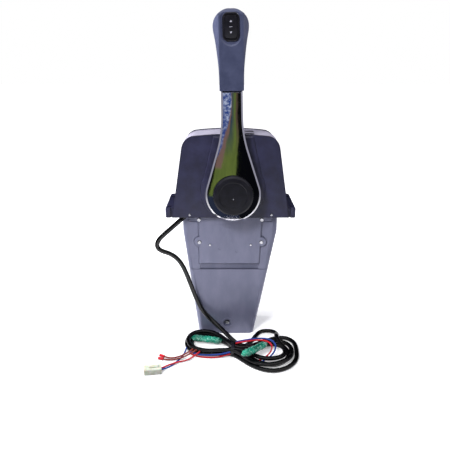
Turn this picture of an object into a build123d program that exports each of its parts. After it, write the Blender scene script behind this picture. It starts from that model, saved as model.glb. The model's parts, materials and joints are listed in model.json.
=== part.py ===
from build123d import *
import functools
import math
import os

# Top-mount single-lever engine control: upper housing on a deck flange, case below the deck.
# X runs fore and aft (forward is +X), Y is the shaft's direction with the lever on the -Y side,
# Z is up. The origin is under the middle of the control, on the surface that it stands on.

# ---- driving dimensions, millimetres ----
RUN = 0.05  # radial clearance of a turning fit
FIT = 0.15  # gap between fixed parts that drop into each other

DECK_Z = 201.0  # underside of the flange
FLANGE_T = 14.0
EAR_REACH = 8.1  # how far each ear stands out past the covers
EAR_GAP = 0.4
FLANGE_CORNER = 4.0
FRONT_Y = -26.0  # front face of the housing
REAR_Y = 56.0
SPLIT_Y = 15.0  # where the front and rear covers meet

COVER_WALL = 2.8
COVER_FOOT_HALF = 86.4  # half width of the housing at the deck, on the split plane
COVER_SHOULDER_HALF = 67.5
COVER_SHOULDER_Z = 317.6
COVER_CROWN_Z = 322.6
COVER_CORNER = 21.0
FRONT_DRAFT = 2.0
REAR_DRAFT = 4.5
STRIP_T = 0.8
STRIP_SINK = 1.1  # depth of the strip's face below the black rims
STRIP_RIM = 5.0  # black rim left in front of and behind the strip
STRIP_LOW_Z = 294.0
PAD_PROUD = 2.5  # raised shield round the lever hub
PAD_R = 46.0
PAD_TOP_HALF = 27.5
COVER_SCREW_X = 59.3
COVER_SCREW_Z = 205.5
COVER_SCREW_R = 1.5
COVER_SCREW_L = 8.0
COVER_HEAD_R = 2.0
COVER_HEAD_T = 1.4
OPENING_X = (-50.0, 54.0)  # opening in the flange for the gears and arms
OPENING_Y = (-10.7, 44.0)
GLAND_NOTCH = 8.5  # half width of the notch in the flange round the gland
NOTCH_T = 3.0

CASE_FRONT_Y = -14.0
CASE_REAR_Y = 50.0
CASE_FOOT_REAR_Y = 41.0
CASE_HALF = 70.5
CASE_TAPER_Z = 175.0
CASE_FOOT_LEFT = -49.6
CASE_FOOT_RIGHT = 38.0
CASE_WALL = 3.0
CASE_EDGE = 8.0
SOCKET_T = 1.0  # how far the case sits up into the flange
COVER_TOP_Z = 113.4  # top of the cable cover
COVER_GAP = 0.6
COVER_SPLIT_Y = 14.0
SHADOW_SLOT = 10.6
SHADOW_T = 2.0
SHADOW_X = (-46.0, 42.5)
CASE_SCREW_EDGE = 8.5  # from the case's side to its screws
CASE_SCREW_Y = (0.0, 38.0)
CASE_SCREW_R = 2.0
CASE_HEAD_R = 3.6
CASE_HEAD_T = 2.6
LUG_R = 5.2
LUG_H = 14.0

PLATE_HALF = 46.9
PLATE_LOW_Z = 124.0
PLATE_TAPER = 3.4  # its right edge leans in by this much
PLATE_TOP_Z = 200.4
PLATE_T = 3.0
GROOVE_W = 1.3  # groove in the case round the plate
GROOVE_T = 1.3
LOBE_R = 7.6
LOBE_X = 46.3
LOBE_Z = (159.5, 195.2)
TAB_HALF = 61.5  # tabs at the plate's top, under the flange
TAB_LOW_Z = 192.2
TAB_CORNER = 3.0
SMALL_SCREW_X = 30.6
SMALL_SCREW_Z = 155.0
WINDOW_HALF = 38.0
WINDOW_Z = (133.0, 187.0)
MARKS = ((-15.8, 149.0), (9.8, 144.4))  # shallow moulding marks on the plate
MARK_R = 2.0
LOBE_SCREW_R = 2.0
LOBE_HEAD_R = 3.1
SMALL_SCREW_R = 1.3
SMALL_HEAD_R = 1.9

BOSS_X = -4.3  # recessed screw low on the cable cover
BOSS_Z = 19.2
BOSS_R = 9.0
BOSS_WELL_R = 6.4
BOSS_SCREW_R = 2.0
PILLAR_R = 5.0

EAR_HOLE_EDGE = 5.9  # from the flange's end
EAR_HOLE_MID_Y = 11.25
EAR_HOLE_Y = 26.35  # from the middle of the four
EAR_HOLE_R = 2.75

HUB_X = 3.3
HUB_Z = 241.3
LEAN = 1.1  # the lever stands this many degrees towards -X at rest
HUB_R = 38.2
SHAFT_R = 8.0
SHAFT_START_Y = -41.0
SHAFT_END_Y = 45.0
SHAFT_BOLT_R = 4.0
CLIP_Y = 42.3
CLIP_T = 1.2
SEAT = 0.03  # clearance of a fixed round seat
LEVER_FACE_Y = -50.0
LEVER_T = 14.0
LEVER_BEVEL = 2.3
NECK_HALF = 14.0
FLARE_R = 160.0
COLLAR_R = 33.0
HUB_GAP = 1.0  # between the collar and the shield
GRIP_START = 138.7  # distances along the lever from the hub
GRIP_FACE_Y = -54.0
GRIP_SPLIT_Y = -41.0
GRIP_BACK_Y = -26.0
ROCKER_R = 213.7  # the rocker's middle
GRIP_CROWN = 21.5  # from the rocker's middle to the top
ROCKER_W = 15.6
ROCKER_L = 26.0
ROCKER_CLEAR = 1.0
BEZEL_W = 21.0
BEZEL_L = 32.4
BEZEL_CORNER = 6.6
WINDOW_CORNER = 4.2
ROCKER_CORNER = 3.6
GRIP_PANEL_HALF = 15.3  # flat front of the grip, between its flanks
PANEL_EDGE = 1.4
TANG_HALF = 9.0
TANG_T = 8.0
TANG_GAP = 8.5  # from the tang's end to the switch
TANG_Y = -47.0
GRIP_SCREW_LOW = 14.5  # above the foot of the grip
GRIP_SCREW_HIGH = 10.0  # below the tang's end
GRIP_SCREW_R = 1.5
GRIP_SCREW_SEAT_Y = -35.0
SWITCH_HALF = 8.4
SWITCH_HALF_L = 14.0
SWITCH_FRONT_Y = -50.4
SWITCH_BACK_Y = -37.0
SWITCH_DISH = 1.2  # depth of the switch's hollow under each end of the rocker
TRUNNION_R = 1.2
TRUNNION_L = 1.5
TRUNNION_Y = -52.0
DISH_R = 11.2  # round ends of the sloping-sided hollow round the rocker
DISH_T = 1.2
DISH_SLOPE = 60.0
DISH_ENDS = (-9.1, 9.5)  # centres of the ends, from the rocker's middle

BUTTON_R = 27.6
BUTTON_FACE_Y = -56.0
BUTTON_BACK_Y = -47.5
BUTTON_GAP = 0.5
WELL_DEPTH = 7.0
SPRING_R = 20.0
SPRING_WIRE = 1.2

MODULE = 2.0
BACKLASH = 0.25
SHIFT_DRIVE_TEETH = 20
SHIFT_TEETH = 30
THROTTLE_DRIVE_TEETH = 24
THROTTLE_TEETH = 26
GEAR_T = 8.0
SHIFT_GEAR_Y = -4.0  # front faces of the two gear pairs
THROTTLE_GEAR_Y = 23.0
ARM_T = 3.0
ARM_LENGTH = 50.0
ARM_HOLE_R = 2.6
PIVOT_R = 5.0
DETENT_Y = 11.0
DETENT_T = 5.0
DETENT_R = 24.0
ROLLER_R = 4.0
DETENT_ANGLE = 32.0  # ahead and astern, from neutral
LEAF_T = 0.9

FRAME_T = 3.0
FRAME_FRONT_Y = -10.0
FRAME_REAR_Y = 37.0
FRAME_TOP_Z = 288.0
BUSH_R = 11.5
ROD_R = 4.0
ROD_REACH = 28.0
FRAME_FOOT_HALF = 47.0
FRAME_TOP_HALF = 31.0
TONGUE_HALF = 15.0
FRAME_SCREW_REACH = 41.0
FRAME_SCREW_R = 2.0
FRAME_HEAD_R = 3.4
FRAME_HEAD_T = 2.4
FRAME_SCREW_L = 9.5
BUZZER = (68.0, 19.0)
BUZZER_R = 9.5
BUZZER_H = 9.5

LEAD_D = 6.0
WIRE_D = 2.4
HANK_H = 12.0
TIE_T = 1.5
TIE_X = 3.0
TIE_Y = -66.0
TIE_HALF_Y = 12.0
TIE_H = 14.0
GLAND_R = 4.1
GLAND_LENGTH = 8.0
GLAND_INSET = 1.0  # from the side of the case
EXIT = (GLAND_INSET - CASE_HALF, -18.6, 198.6)  # where the lead leaves its gland

FLANGE_TOP = DECK_Z + FLANGE_T
FLANGE_HALF = COVER_FOOT_HALF + EAR_REACH
CASE_TOP_Z = DECK_Z + SOCKET_T
MID_Y = (FRONT_Y + REAR_Y) / 2
LEVER_BACK_Y = LEVER_FACE_Y + LEVER_T
PAD_FACE_Y = FRONT_Y - PAD_PROUD
PIVOT_Z = HUB_Z - MODULE * (SHIFT_DRIVE_TEETH + SHIFT_TEETH) / 2
TANG_END = ROCKER_R - SWITCH_HALF_L - TANG_GAP
GRIP_TOP = ROCKER_R + GRIP_CROWN
GRIP_SCREWS = (GRIP_START + GRIP_SCREW_LOW, TANG_END - GRIP_SCREW_HIGH)
ROLLER_Z = HUB_Z + DETENT_R + ROLLER_R + 0.3
LEAF_Z = ROLLER_Z + ROLLER_R + 0.05
ROD_X = (HUB_X - ROD_REACH, HUB_X + ROD_REACH)
CASE_SCREW_X = CASE_HALF - CASE_SCREW_EDGE
CASE_SCREWS = [(x, y) for x in (-CASE_SCREW_X, CASE_SCREW_X) for y in CASE_SCREW_Y]
FRAME_SCREWS = [
    (HUB_X + side * FRAME_SCREW_REACH, y) for side in (-1, 1) for y in (FRONT_Y + 10.0, REAR_Y - 7.5)
]
BOSS_HEAD_Y = CASE_FRONT_Y + 3.0
BOSS_SEAT_Y = CASE_FRONT_Y + 6.0
PLATE_FACE_Y = CASE_FRONT_Y - PLATE_T


# ---- small helpers ----
def front_plane(y):
    """Sketches seen from the lever side: x to the right, y up, growing towards -Y."""
    return Plane(origin=(0, y, 0), x_dir=(1, 0, 0), z_dir=(0, -1, 0))


def along_y(sketch, y_front, y_back):
    return extrude(front_plane(y_back) * sketch, amount=y_back - y_front)


def block(x0, x1, y0, y1, z0, z1):
    return Pos((x0 + x1) / 2, (y0 + y1) / 2, (z0 + z1) / 2) * Box(x1 - x0, y1 - y0, z1 - z0)


def rod_y(radius, x, z, y0, y1):
    return Pos(x, (y0 + y1) / 2, z) * Rot(90, 0, 0) * Cylinder(radius, y1 - y0)


def rod_z(radius, x, y, z0, z1):
    return Pos(x, y, (z0 + z1) / 2) * Cylinder(radius, z1 - z0)


def polygon(*points):
    return make_face(Polyline(*points, close=True))


def leaning(part):
    """Turns what is drawn upright over the hub to the lever's lean."""
    hub = Pos(HUB_X, 0, HUB_Z)
    return hub * Rot(0, -LEAN, 0) * hub.inverse() * part


def save(name, *solids):
    export_step(solids[0] if len(solids) == 1 else Compound(children=list(solids)), f"parts/{name}.step")


# ---- upper housing ----
def housing_outline(inset):
    """Front view of the housing on its split plane, with a crowned top and round shoulders."""
    foot_z = DECK_Z - 6.0
    lean = (COVER_FOOT_HALF - COVER_SHOULDER_HALF) / (COVER_SHOULDER_Z - DECK_Z)
    foot = COVER_FOOT_HALF + lean * (DECK_Z - foot_z) - inset
    half, shoulder, crown = COVER_SHOULDER_HALF - inset, COVER_SHOULDER_Z - inset, COVER_CROWN_Z - inset
    sides = Polyline((-half, shoulder), (-foot, foot_z), (foot, foot_z), (half, shoulder))
    top = ThreePointArc((half, shoulder), (0, crown), (-half, shoulder))
    face = make_face([sides, top])
    corners = face.vertices().sort_by(Axis.Y)[-2:]
    return fillet(corners, COVER_CORNER - inset)


@functools.cache
def housing_solid(inset):
    """The whole housing with its moulding draft, or the space inside it for an inset of a wall."""
    outline = housing_outline(inset)
    back = Plane(origin=(0, SPLIT_Y, 0), x_dir=(-1, 0, 0), z_dir=(0, 1, 0))
    front = extrude(front_plane(SPLIT_Y) * outline, amount=SPLIT_Y - FRONT_Y - inset, taper=FRONT_DRAFT)
    rear = extrude(back * outline, amount=REAR_Y - SPLIT_Y - inset, taper=REAR_DRAFT)
    return (front + rear) & block(-200, 200, -200, 200, DECK_Z, 400)


def strip_band(clearance, outer, inner):
    """The band over the top and round the shoulders that the pale strip fills."""
    slab = block(
        -200, 200, FRONT_Y + STRIP_RIM - clearance, REAR_Y - STRIP_RIM - 2 + clearance,
        STRIP_LOW_Z - clearance, 400,
    )
    return (outer & slab) - inner


def shield_pad():
    """Raised shield on the front cover, a funnel that ends round the hub."""
    reach = COVER_CROWN_Z - HUB_Z - 4.0
    funnel = polygon(
        (HUB_X - PAD_R, HUB_Z), (HUB_X + PAD_R, HUB_Z),
        (HUB_X + PAD_TOP_HALF, HUB_Z + reach), (HUB_X - PAD_TOP_HALF, HUB_Z + reach),
    )
    outline = funnel + Pos(HUB_X, HUB_Z) * Circle(PAD_R)
    pad = along_y(outline, PAD_FACE_Y, FRONT_Y + 1.0)
    pad = chamfer(pad.faces().sort_by(Axis.Y)[0].edges(), PAD_PROUD * 0.6)
    return pad & block(-200, 200, -200, 200, DECK_Z, 400)


def covers():
    shell = housing_solid(0) - housing_solid(COVER_WALL)
    # Behind the front wall and ahead of the rear wall the covers end on top of the ears.
    shell -= block(-200, 200, FRONT_Y + COVER_WALL, REAR_Y - COVER_WALL, DECK_Z - 1, FLANGE_TOP)
    shell -= strip_band(FIT, housing_solid(0), housing_solid(STRIP_SINK + STRIP_T + FIT))
    front = (shell & block(-200, 200, -200, SPLIT_Y - FIT / 2, 0, 400)) + shield_pad()
    rear = shell & block(-200, 200, SPLIT_Y + FIT / 2, 200, 0, 400)
    front -= rod_y(BUSH_R + 2 * FIT, HUB_X, HUB_Z, PAD_FACE_Y - 1, 0)
    for x in (-COVER_SCREW_X, COVER_SCREW_X):
        front -= rod_y(COVER_SCREW_R + FIT, x, COVER_SCREW_Z, FRONT_Y - 1, 0)
        rear -= rod_y(COVER_SCREW_R + FIT, x, COVER_SCREW_Z, MID_Y, REAR_Y + 1)
        rear -= rod_y(COVER_HEAD_R + FIT, x, COVER_SCREW_Z, REAR_Y - COVER_HEAD_T, REAR_Y + 1)
    return front, rear


def screw_y(radius, head_r, head_t, x, z, head_y, length, towards=1):
    """A pan-head screw along Y with its head's underside at head_y."""
    shank = rod_y(radius, x, z, *sorted((head_y, head_y + towards * length)))
    head = rod_y(head_r, x, z, *sorted((head_y, head_y - towards * head_t)))
    outer = head.faces().sort_by(Axis.Y)[0 if towards > 0 else -1]
    return shank + fillet(outer.edges(), head_t * 0.6)


def cover_screws():
    screws = []
    for x in (-COVER_SCREW_X, COVER_SCREW_X):
        for seat_y, towards in ((FRONT_Y, 1), (REAR_Y - COVER_HEAD_T, -1)):
            screws.append(screw_y(
                COVER_SCREW_R, COVER_HEAD_R, COVER_HEAD_T, x, COVER_SCREW_Z, seat_y, COVER_SCREW_L, towards
            ))
    return screws


# ---- flange ----
def flange():
    """Deck flange: narrow between the covers' skirts, full depth at the two ears."""
    mid_half = COVER_FOOT_HALF + EAR_GAP
    body = block(
        -mid_half, mid_half, FRONT_Y + COVER_WALL + FIT, REAR_Y - COVER_WALL - FIT, DECK_Z, FLANGE_TOP
    )
    for side in (-1, 1):
        ear_x = sorted((side * mid_half, side * FLANGE_HALF))
        ear = block(*ear_x, FRONT_Y, REAR_Y, DECK_Z, FLANGE_TOP)
        outer = ear.edges().filter_by(Axis.Z).sort_by(Axis.X)
        ear = fillet(outer[-2:] if side > 0 else outer[:2], FLANGE_CORNER)
        rim = ear.faces().sort_by(Axis.Z)[-1].edges().sort_by(Axis.X)
        body += chamfer(rim[1:] if side > 0 else rim[:-1], 1.2)
        for y in (EAR_HOLE_MID_Y - EAR_HOLE_Y, EAR_HOLE_MID_Y + EAR_HOLE_Y):
            body -= rod_z(EAR_HOLE_R, side * (FLANGE_HALF - EAR_HOLE_EDGE), y, DECK_Z - 1, FLANGE_TOP + 1)
    body -= block(*OPENING_X, *OPENING_Y, DECK_Z - 1, FLANGE_TOP + 1)
    # The socket for the case, the recess for its access plate and the notch for the gland.
    body -= case_solid(-FIT) & block(-200, 200, -200, 200, DECK_Z - 1, CASE_TOP_Z)
    recess = TAB_HALF + 1.0
    body -= block(-recess, recess, PLATE_FACE_Y - 2.4, CASE_FRONT_Y, DECK_Z - 1, CASE_TOP_Z)
    body -= block(
        EXIT[0] - GLAND_NOTCH, EXIT[0] + GLAND_NOTCH, FRONT_Y, CASE_FRONT_Y, DECK_Z - 1, DECK_Z + NOTCH_T
    )
    for x in (-COVER_SCREW_X, COVER_SCREW_X):
        reach = COVER_HEAD_T + COVER_SCREW_L + 1
        body -= rod_y(COVER_SCREW_R + SEAT, x, COVER_SCREW_Z, FRONT_Y, FRONT_Y + reach)
        body -= rod_y(COVER_SCREW_R + SEAT, x, COVER_SCREW_Z, REAR_Y - reach, REAR_Y)
    for x, y in CASE_SCREWS:
        body -= rod_z(CASE_SCREW_R + 0.1, x, y, DECK_Z - 1, FLANGE_TOP + 1)
    for x, y in FRAME_SCREWS:
        body -= rod_z(FRAME_SCREW_R + SEAT, x, y, FLANGE_TOP + FRAME_T - FRAME_SCREW_L - 0.5, FLANGE_TOP + 1)
    return body - gland_body(FIT)


def case_screws():
    screws = []
    for x, y in CASE_SCREWS:
        shank = rod_z(CASE_SCREW_R, x, y, DECK_Z - 9, FLANGE_TOP)
        head = rod_z(CASE_HEAD_R, x, y, FLANGE_TOP, FLANGE_TOP + CASE_HEAD_T)
        screws.append(shank + fillet(head.faces().sort_by(Axis.Z)[-1].edges(), 1.2))
    return screws


# ---- case below the deck ----
def case_section(left, right, rear, z, inset):
    """One level of the case, a rectangle with round corners."""
    width, depth = right - left - 2 * inset, rear - CASE_FRONT_Y - 2 * inset
    return Pos((left + right) / 2, (CASE_FRONT_Y + rear) / 2, z) * RectangleRounded(
        width, depth, CASE_EDGE - inset
    )


@functools.cache
def case_solid(inset):
    """Tapered case: straight under the deck, then narrowing to the foot; inset gives the space inside."""
    left, right = -CASE_HALF - 0.5, CASE_HALF - 0.5
    foot = case_section(CASE_FOOT_LEFT, CASE_FOOT_RIGHT, CASE_FOOT_REAR_Y, 0, inset)
    waist = case_section(left, right, CASE_REAR_Y, CASE_TAPER_Z, inset)
    return loft([foot, waist], ruled=True) + extrude(waist, amount=CASE_TOP_Z - CASE_TAPER_Z)


def shadow_slot():
    """Hollow between the access plate and the cable cover, deeper towards the cover."""
    back = CASE_FRONT_Y + SHADOW_T
    side = polygon(
        (CASE_FRONT_Y - 0.5, COVER_TOP_Z), (back, COVER_TOP_Z), (back, COVER_TOP_Z + COVER_GAP),
        (CASE_FRONT_Y - 0.5, COVER_TOP_Z + SHADOW_SLOT),
    )
    left, right = SHADOW_X
    return Pos((left + right) / 2, 0, 0) * extrude(Plane.YZ * side, amount=(right - left) / 2, both=True)


def case_parts():
    """The case with its rear trough, open below, and the cable cover that closes it in front."""
    shell = case_solid(0) - case_solid(CASE_WALL)
    case = shell - block(-200, 200, -200, COVER_SPLIT_Y, -1, COVER_TOP_Z + COVER_GAP)
    case -= block(-WINDOW_HALF, WINDOW_HALF, CASE_FRONT_Y - 1, CASE_FRONT_Y + CASE_WALL + 1, *WINDOW_Z)
    case -= shadow_slot()
    margin = offset(plate_outline(), GROOVE_W) - plate_outline()
    case -= along_y(margin, CASE_FRONT_Y - 1, CASE_FRONT_Y + GROOVE_T)
    for x, y in CASE_SCREWS:
        wall_x = math.copysign(CASE_HALF, x)
        lug = rod_z(LUG_R, x, y, CASE_TOP_Z - LUG_H, CASE_TOP_Z)
        lug += block(min(x, wall_x), max(x, wall_x), y - LUG_R, y + LUG_R, CASE_TOP_Z - LUG_H, CASE_TOP_Z)
        case += lug & case_solid(CASE_WALL / 2)
        case -= rod_z(CASE_SCREW_R + SEAT, x, y, DECK_Z - 10, CASE_TOP_Z + 1)
    for x in (-LOBE_X, LOBE_X):
        for z in LOBE_Z:
            case += rod_y(4.2, x, z, CASE_FRONT_Y + 1, CASE_FRONT_Y + 9)
            case -= rod_y(LOBE_SCREW_R + SEAT, x, z, CASE_FRONT_Y - 1, CASE_FRONT_Y + 8)
    pillar = rod_y(PILLAR_R, BOSS_X, BOSS_Z, BOSS_SEAT_Y, CASE_FOOT_REAR_Y - 1)
    case += pillar & case_solid(CASE_WALL / 2)
    case -= rod_y(BOSS_SCREW_R + SEAT, BOSS_X, BOSS_Z, BOSS_SEAT_Y - 1, BOSS_SEAT_Y + 9)
    cover = shell & block(-200, 200, -200, COVER_SPLIT_Y - COVER_GAP / 2, -1, COVER_TOP_Z)
    cover += rod_y(BOSS_R, BOSS_X, BOSS_Z, CASE_FRONT_Y - 1.0, BOSS_SEAT_Y - 0.1)
    cover -= rod_y(BOSS_WELL_R, BOSS_X, BOSS_Z, CASE_FRONT_Y - 2, BOSS_HEAD_Y)
    cover -= rod_y(BOSS_SCREW_R + FIT, BOSS_X, BOSS_Z, CASE_FRONT_Y - 2, BOSS_SEAT_Y + 1)
    return case, cover


def plate_outline():
    """Front view of the access plate: a lobe round each lower screw, tabs under the flange."""
    outline = polygon(
        (-PLATE_HALF, PLATE_LOW_Z), (PLATE_HALF - PLATE_TAPER, PLATE_LOW_Z),
        (PLATE_HALF, PLATE_TOP_Z), (-PLATE_HALF, PLATE_TOP_Z),
    )
    for x in (-LOBE_X, LOBE_X):
        outline += Pos(x, LOBE_Z[0]) * Circle(LOBE_R)
    tabs = polygon(
        (-TAB_HALF, TAB_LOW_Z), (TAB_HALF, TAB_LOW_Z), (TAB_HALF, PLATE_TOP_Z), (-TAB_HALF, PLATE_TOP_Z),
    )
    return outline + fillet(tabs.vertices().sort_by(Axis.Y)[:2], TAB_CORNER)


def access_plate():
    """Raised plate over the case window."""
    plate = along_y(plate_outline(), PLATE_FACE_Y, CASE_FRONT_Y)
    plate = chamfer(plate.faces().sort_by(Axis.Y)[0].edges(), 0.6)
    holes = [(x, z, LOBE_SCREW_R) for x in (-LOBE_X, LOBE_X) for z in LOBE_Z]
    holes += [(x, SMALL_SCREW_Z, SMALL_SCREW_R) for x in (-SMALL_SCREW_X, SMALL_SCREW_X)]
    for x, z, r in holes:
        plate -= rod_y(r + FIT, x, z, PLATE_FACE_Y - 1, CASE_FRONT_Y + 1)
    for x, z in MARKS:
        plate -= rod_y(MARK_R, x, z, PLATE_FACE_Y - 1, PLATE_FACE_Y + 0.5)
    return plate


def plate_screws():
    return [
        screw_y(LOBE_SCREW_R, LOBE_HEAD_R, 1.7, x, z, PLATE_FACE_Y, 9.0) for x in (-LOBE_X, LOBE_X) for z in LOBE_Z
    ]


def small_screws():
    return [
        screw_y(SMALL_SCREW_R, SMALL_HEAD_R, 1.1, x, SMALL_SCREW_Z, PLATE_FACE_Y, PLATE_T + 0.5)
        for x in (-SMALL_SCREW_X, SMALL_SCREW_X)
    ]


# ---- lever ----
def lever_outline():
    """Teardrop: round hub, straight flare tangent to it, and a long blend into the neck."""
    angle = math.radians(17.0)
    start = (HUB_R * math.cos(angle), HUB_R * math.sin(angle))
    corner_r = start[1] + (start[0] - NECK_HALF - 0.5) / math.tan(angle)
    right = [start, (NECK_HALF + 0.5, corner_r), (NECK_HALF, GRIP_START - 0.05)]
    left = [(-x, z) for x, z in reversed(right)]
    face = polygon(*right, *left)
    bends = [v for v in face.vertices() if abs(v.Y - corner_r) < 0.01]
    face = fillet(bends, FLARE_R)
    return Pos(HUB_X, HUB_Z) * (face + Circle(HUB_R))


def lever_arm():
    body = along_y(lever_outline(), LEVER_FACE_Y, LEVER_BACK_Y)
    body = chamfer(body.faces().sort_by(Axis.Y)[0].edges(), LEVER_BEVEL)
    body = chamfer(body.faces().sort_by(Axis.Y)[-1].edges(), 1.5)
    tang = block(
        HUB_X - TANG_HALF, HUB_X + TANG_HALF, TANG_Y, TANG_Y + TANG_T,
        HUB_Z + GRIP_START - 5, HUB_Z + TANG_END,
    )
    body += tang
    body -= rod_y(BUTTON_R + BUTTON_GAP, HUB_X, HUB_Z, LEVER_FACE_Y - 1, LEVER_FACE_Y + WELL_DEPTH)
    body -= rod_y(SHAFT_BOLT_R + 0.1, HUB_X, HUB_Z, LEVER_FACE_Y, LEVER_BACK_Y + 1)
    body -= rod_y(SHAFT_R + SEAT, HUB_X, HUB_Z, SHAFT_START_Y, LEVER_BACK_Y + 1)
    for r in GRIP_SCREWS:
        body -= rod_y(GRIP_SCREW_R + SEAT, HUB_X, HUB_Z + r, TANG_Y + 1, TANG_Y + TANG_T + 1)
    return leaning(body)


def hub_collar():
    ring = rod_y(COLLAR_R, HUB_X, HUB_Z, LEVER_BACK_Y, PAD_FACE_Y - HUB_GAP)
    ring = fillet(ring.edges().sort_by(Axis.Y)[-1:], 1.5)
    return ring - rod_y(SHAFT_R + SEAT, HUB_X, HUB_Z, -60, 0)


def main_shaft():
    shaft = rod_y(SHAFT_R, HUB_X, HUB_Z, SHAFT_START_Y, SHAFT_END_Y)
    shaft -= rod_y(SHAFT_BOLT_R + SEAT, HUB_X, HUB_Z, SHAFT_START_Y - 1, SHAFT_START_Y + 18)
    groove = rod_y(SHAFT_R + 1, HUB_X, HUB_Z, CLIP_Y - 0.05, CLIP_Y + CLIP_T + 0.05)
    return shaft - (groove - rod_y(SHAFT_R - 1, HUB_X, HUB_Z, CLIP_Y - 1, CLIP_Y + 2))


def shaft_clip():
    ring = Circle(SHAFT_R + 3.5) - Circle(SHAFT_R - 0.95) - Pos(0, -10) * Rectangle(9, 14)
    return along_y(Pos(HUB_X, HUB_Z) * ring, CLIP_Y, CLIP_Y + CLIP_T)


def hub_bolt():
    floor = LEVER_FACE_Y + WELL_DEPTH
    head = along_y(Pos(HUB_X, HUB_Z) * RegularPolygon(6.5, 6, major_radius=False), floor - 5.7, floor - 1.2)
    return head + rod_y(SHAFT_BOLT_R, HUB_X, HUB_Z, floor - 1.2, SHAFT_START_Y + 16)


def hub_washer():
    floor = LEVER_FACE_Y + WELL_DEPTH
    washer = Pos(HUB_X, HUB_Z) * (Circle(9.0) - Circle(4.2))
    return along_y(washer, floor - 1.2, floor)


def button():
    """Warm-up button: stepped rings in front, a hollow for the lever bolt and a groove for its spring."""
    back, face = BUTTON_BACK_Y, BUTTON_FACE_Y
    half = [
        (0, face + 0.6), (19.0, face + 0.6), (19.8, face), (BUTTON_R - 2.4, face),
        (BUTTON_R, face + 2.0), (BUTTON_R, back), (24.0, back), (24.0, face + 4.5),
        (16.0, face + 4.5), (16.0, back), (13.0, back), (13.0, face + 2.6), (0, face + 2.6),
    ]
    section = Plane.XY * polygon(*half)
    body = revolve(section, Axis.Y)
    body += rod_y(1.2, 0, 0, face, face + 1.0)
    return Pos(HUB_X, 0, HUB_Z) * body


def button_spring():
    """Compression spring between the well's floor and the groove in the button."""
    seat = LEVER_FACE_Y + WELL_DEPTH - SPRING_WIRE / 2 - 0.02
    top = BUTTON_FACE_Y + 4.5 + SPRING_WIRE / 2 + 0.02
    turns = 2.5
    path = Helix(pitch=(seat - top) / turns, height=seat - top, radius=SPRING_R)
    wire = sweep((path ^ 0) * Circle(SPRING_WIRE / 2), path=path)
    return Pos(HUB_X, seat, HUB_Z) * Rot(90, 0, 0) * wire


# ---- grip ----
def grip_solid(inset):
    """Three crossed prisms: front view, side view and plan; the plan gives the faceted flanks."""
    i = inset
    foot = 15.6 - i
    right = Spline(
        (foot, GRIP_START), (15.9 - i, GRIP_START + 22.5),
        (17.9 - i, GRIP_TOP - 52.0), (20.8 - i, GRIP_TOP - 32.0),
        (22.4 - i, GRIP_TOP - 18.5), (20.3 - i, GRIP_TOP - 11.4 - i), (12.6, GRIP_TOP - 3.9 - i),
        (0, GRIP_TOP - i), tangents=[(0.02, 1), (-1, 0)],
    )
    front = make_face([right, mirror(right, about=Plane.YZ), Line((-foot, GRIP_START), (foot, GRIP_START))])
    body = along_y(Pos(HUB_X, HUB_Z) * front, -80, 0)
    side = polygon(
        (GRIP_FACE_Y + i, GRIP_START), (GRIP_FACE_Y + i, GRIP_TOP - i),
        (GRIP_BACK_Y - 1 - i, GRIP_TOP - i), (GRIP_BACK_Y - i, GRIP_TOP - 36.0),
        (GRIP_BACK_Y - 5 - i, GRIP_START),
    )
    tops = side.vertices().sort_by(Axis.Y)[-2:]
    side = fillet(tops, 9.0 - i)
    body &= Pos(HUB_X, 0, HUB_Z) * extrude(Plane.YZ * side, amount=60, both=True)
    plan = polygon(
        (i - GRIP_PANEL_HALF, GRIP_FACE_Y + i), (GRIP_PANEL_HALF - i, GRIP_FACE_Y + i),
        (22.6 - i, -44), (22.6 - i, -36), (14.5 - i, GRIP_BACK_Y - i),
        (-14.5 + i, GRIP_BACK_Y - i), (-22.6 + i, -36), (-22.6 + i, -44),
    )
    plan = fillet(plan.vertices().sort_by(Axis.Y)[:2], PANEL_EDGE)
    plan = fillet(plan.vertices().sort_by(Axis.Y)[-6:], 4.0)
    return body & (Pos(HUB_X, 0, 0) * extrude(plan, amount=600))


def rocker_dish(middle):
    """Oval hollow in the grip's face that the rocker and its bezel stand in."""
    low, high = DISH_ENDS
    oval = Rot(0, 0, 90) * SlotCenterToCenter(high - low, 2 * DISH_R)
    oval = Pos(HUB_X, middle + (low + high) / 2) * oval
    return extrude(front_plane(GRIP_FACE_Y + DISH_T) * oval, amount=DISH_T + 0.5, taper=-DISH_SLOPE)


def grip_halves():
    body = grip_solid(0)
    middle = HUB_Z + ROCKER_R
    pocket = block(
        HUB_X - TANG_HALF - FIT, HUB_X + TANG_HALF + FIT, TANG_Y - FIT, TANG_Y + TANG_T + FIT,
        HUB_Z, HUB_Z + TANG_END + FIT,
    )
    pocket += block(
        HUB_X - SWITCH_HALF - FIT, HUB_X + SWITCH_HALF + FIT, -52, SWITCH_BACK_Y + FIT,
        middle - SWITCH_HALF_L - FIT, middle + SWITCH_HALF_L + FIT,
    )
    pocket += bezel_block(FIT)
    body -= pocket
    body -= rocker_dish(middle)
    front = body & block(-200, 200, -200, GRIP_SPLIT_Y - 0.05, 0, 900)
    rear = body & block(-200, 200, GRIP_SPLIT_Y + 0.05, 200, 0, 900)
    for r in GRIP_SCREWS:
        rear -= rod_y(GRIP_SCREW_R + FIT, HUB_X, HUB_Z + r, -60, 0)
        rear -= rod_y(3.3, HUB_X, HUB_Z + r, GRIP_SCREW_SEAT_Y, 0)
        front -= rod_y(GRIP_SCREW_R + FIT, HUB_X, HUB_Z + r, TANG_Y - 1, 0)
    return leaning(front), leaning(rear)


def grip_screws():
    return [
        leaning(screw_y(GRIP_SCREW_R, 2.9, 1.6, HUB_X, HUB_Z + r, GRIP_SCREW_SEAT_Y, 8.0, -1))
        for r in GRIP_SCREWS
    ]


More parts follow.
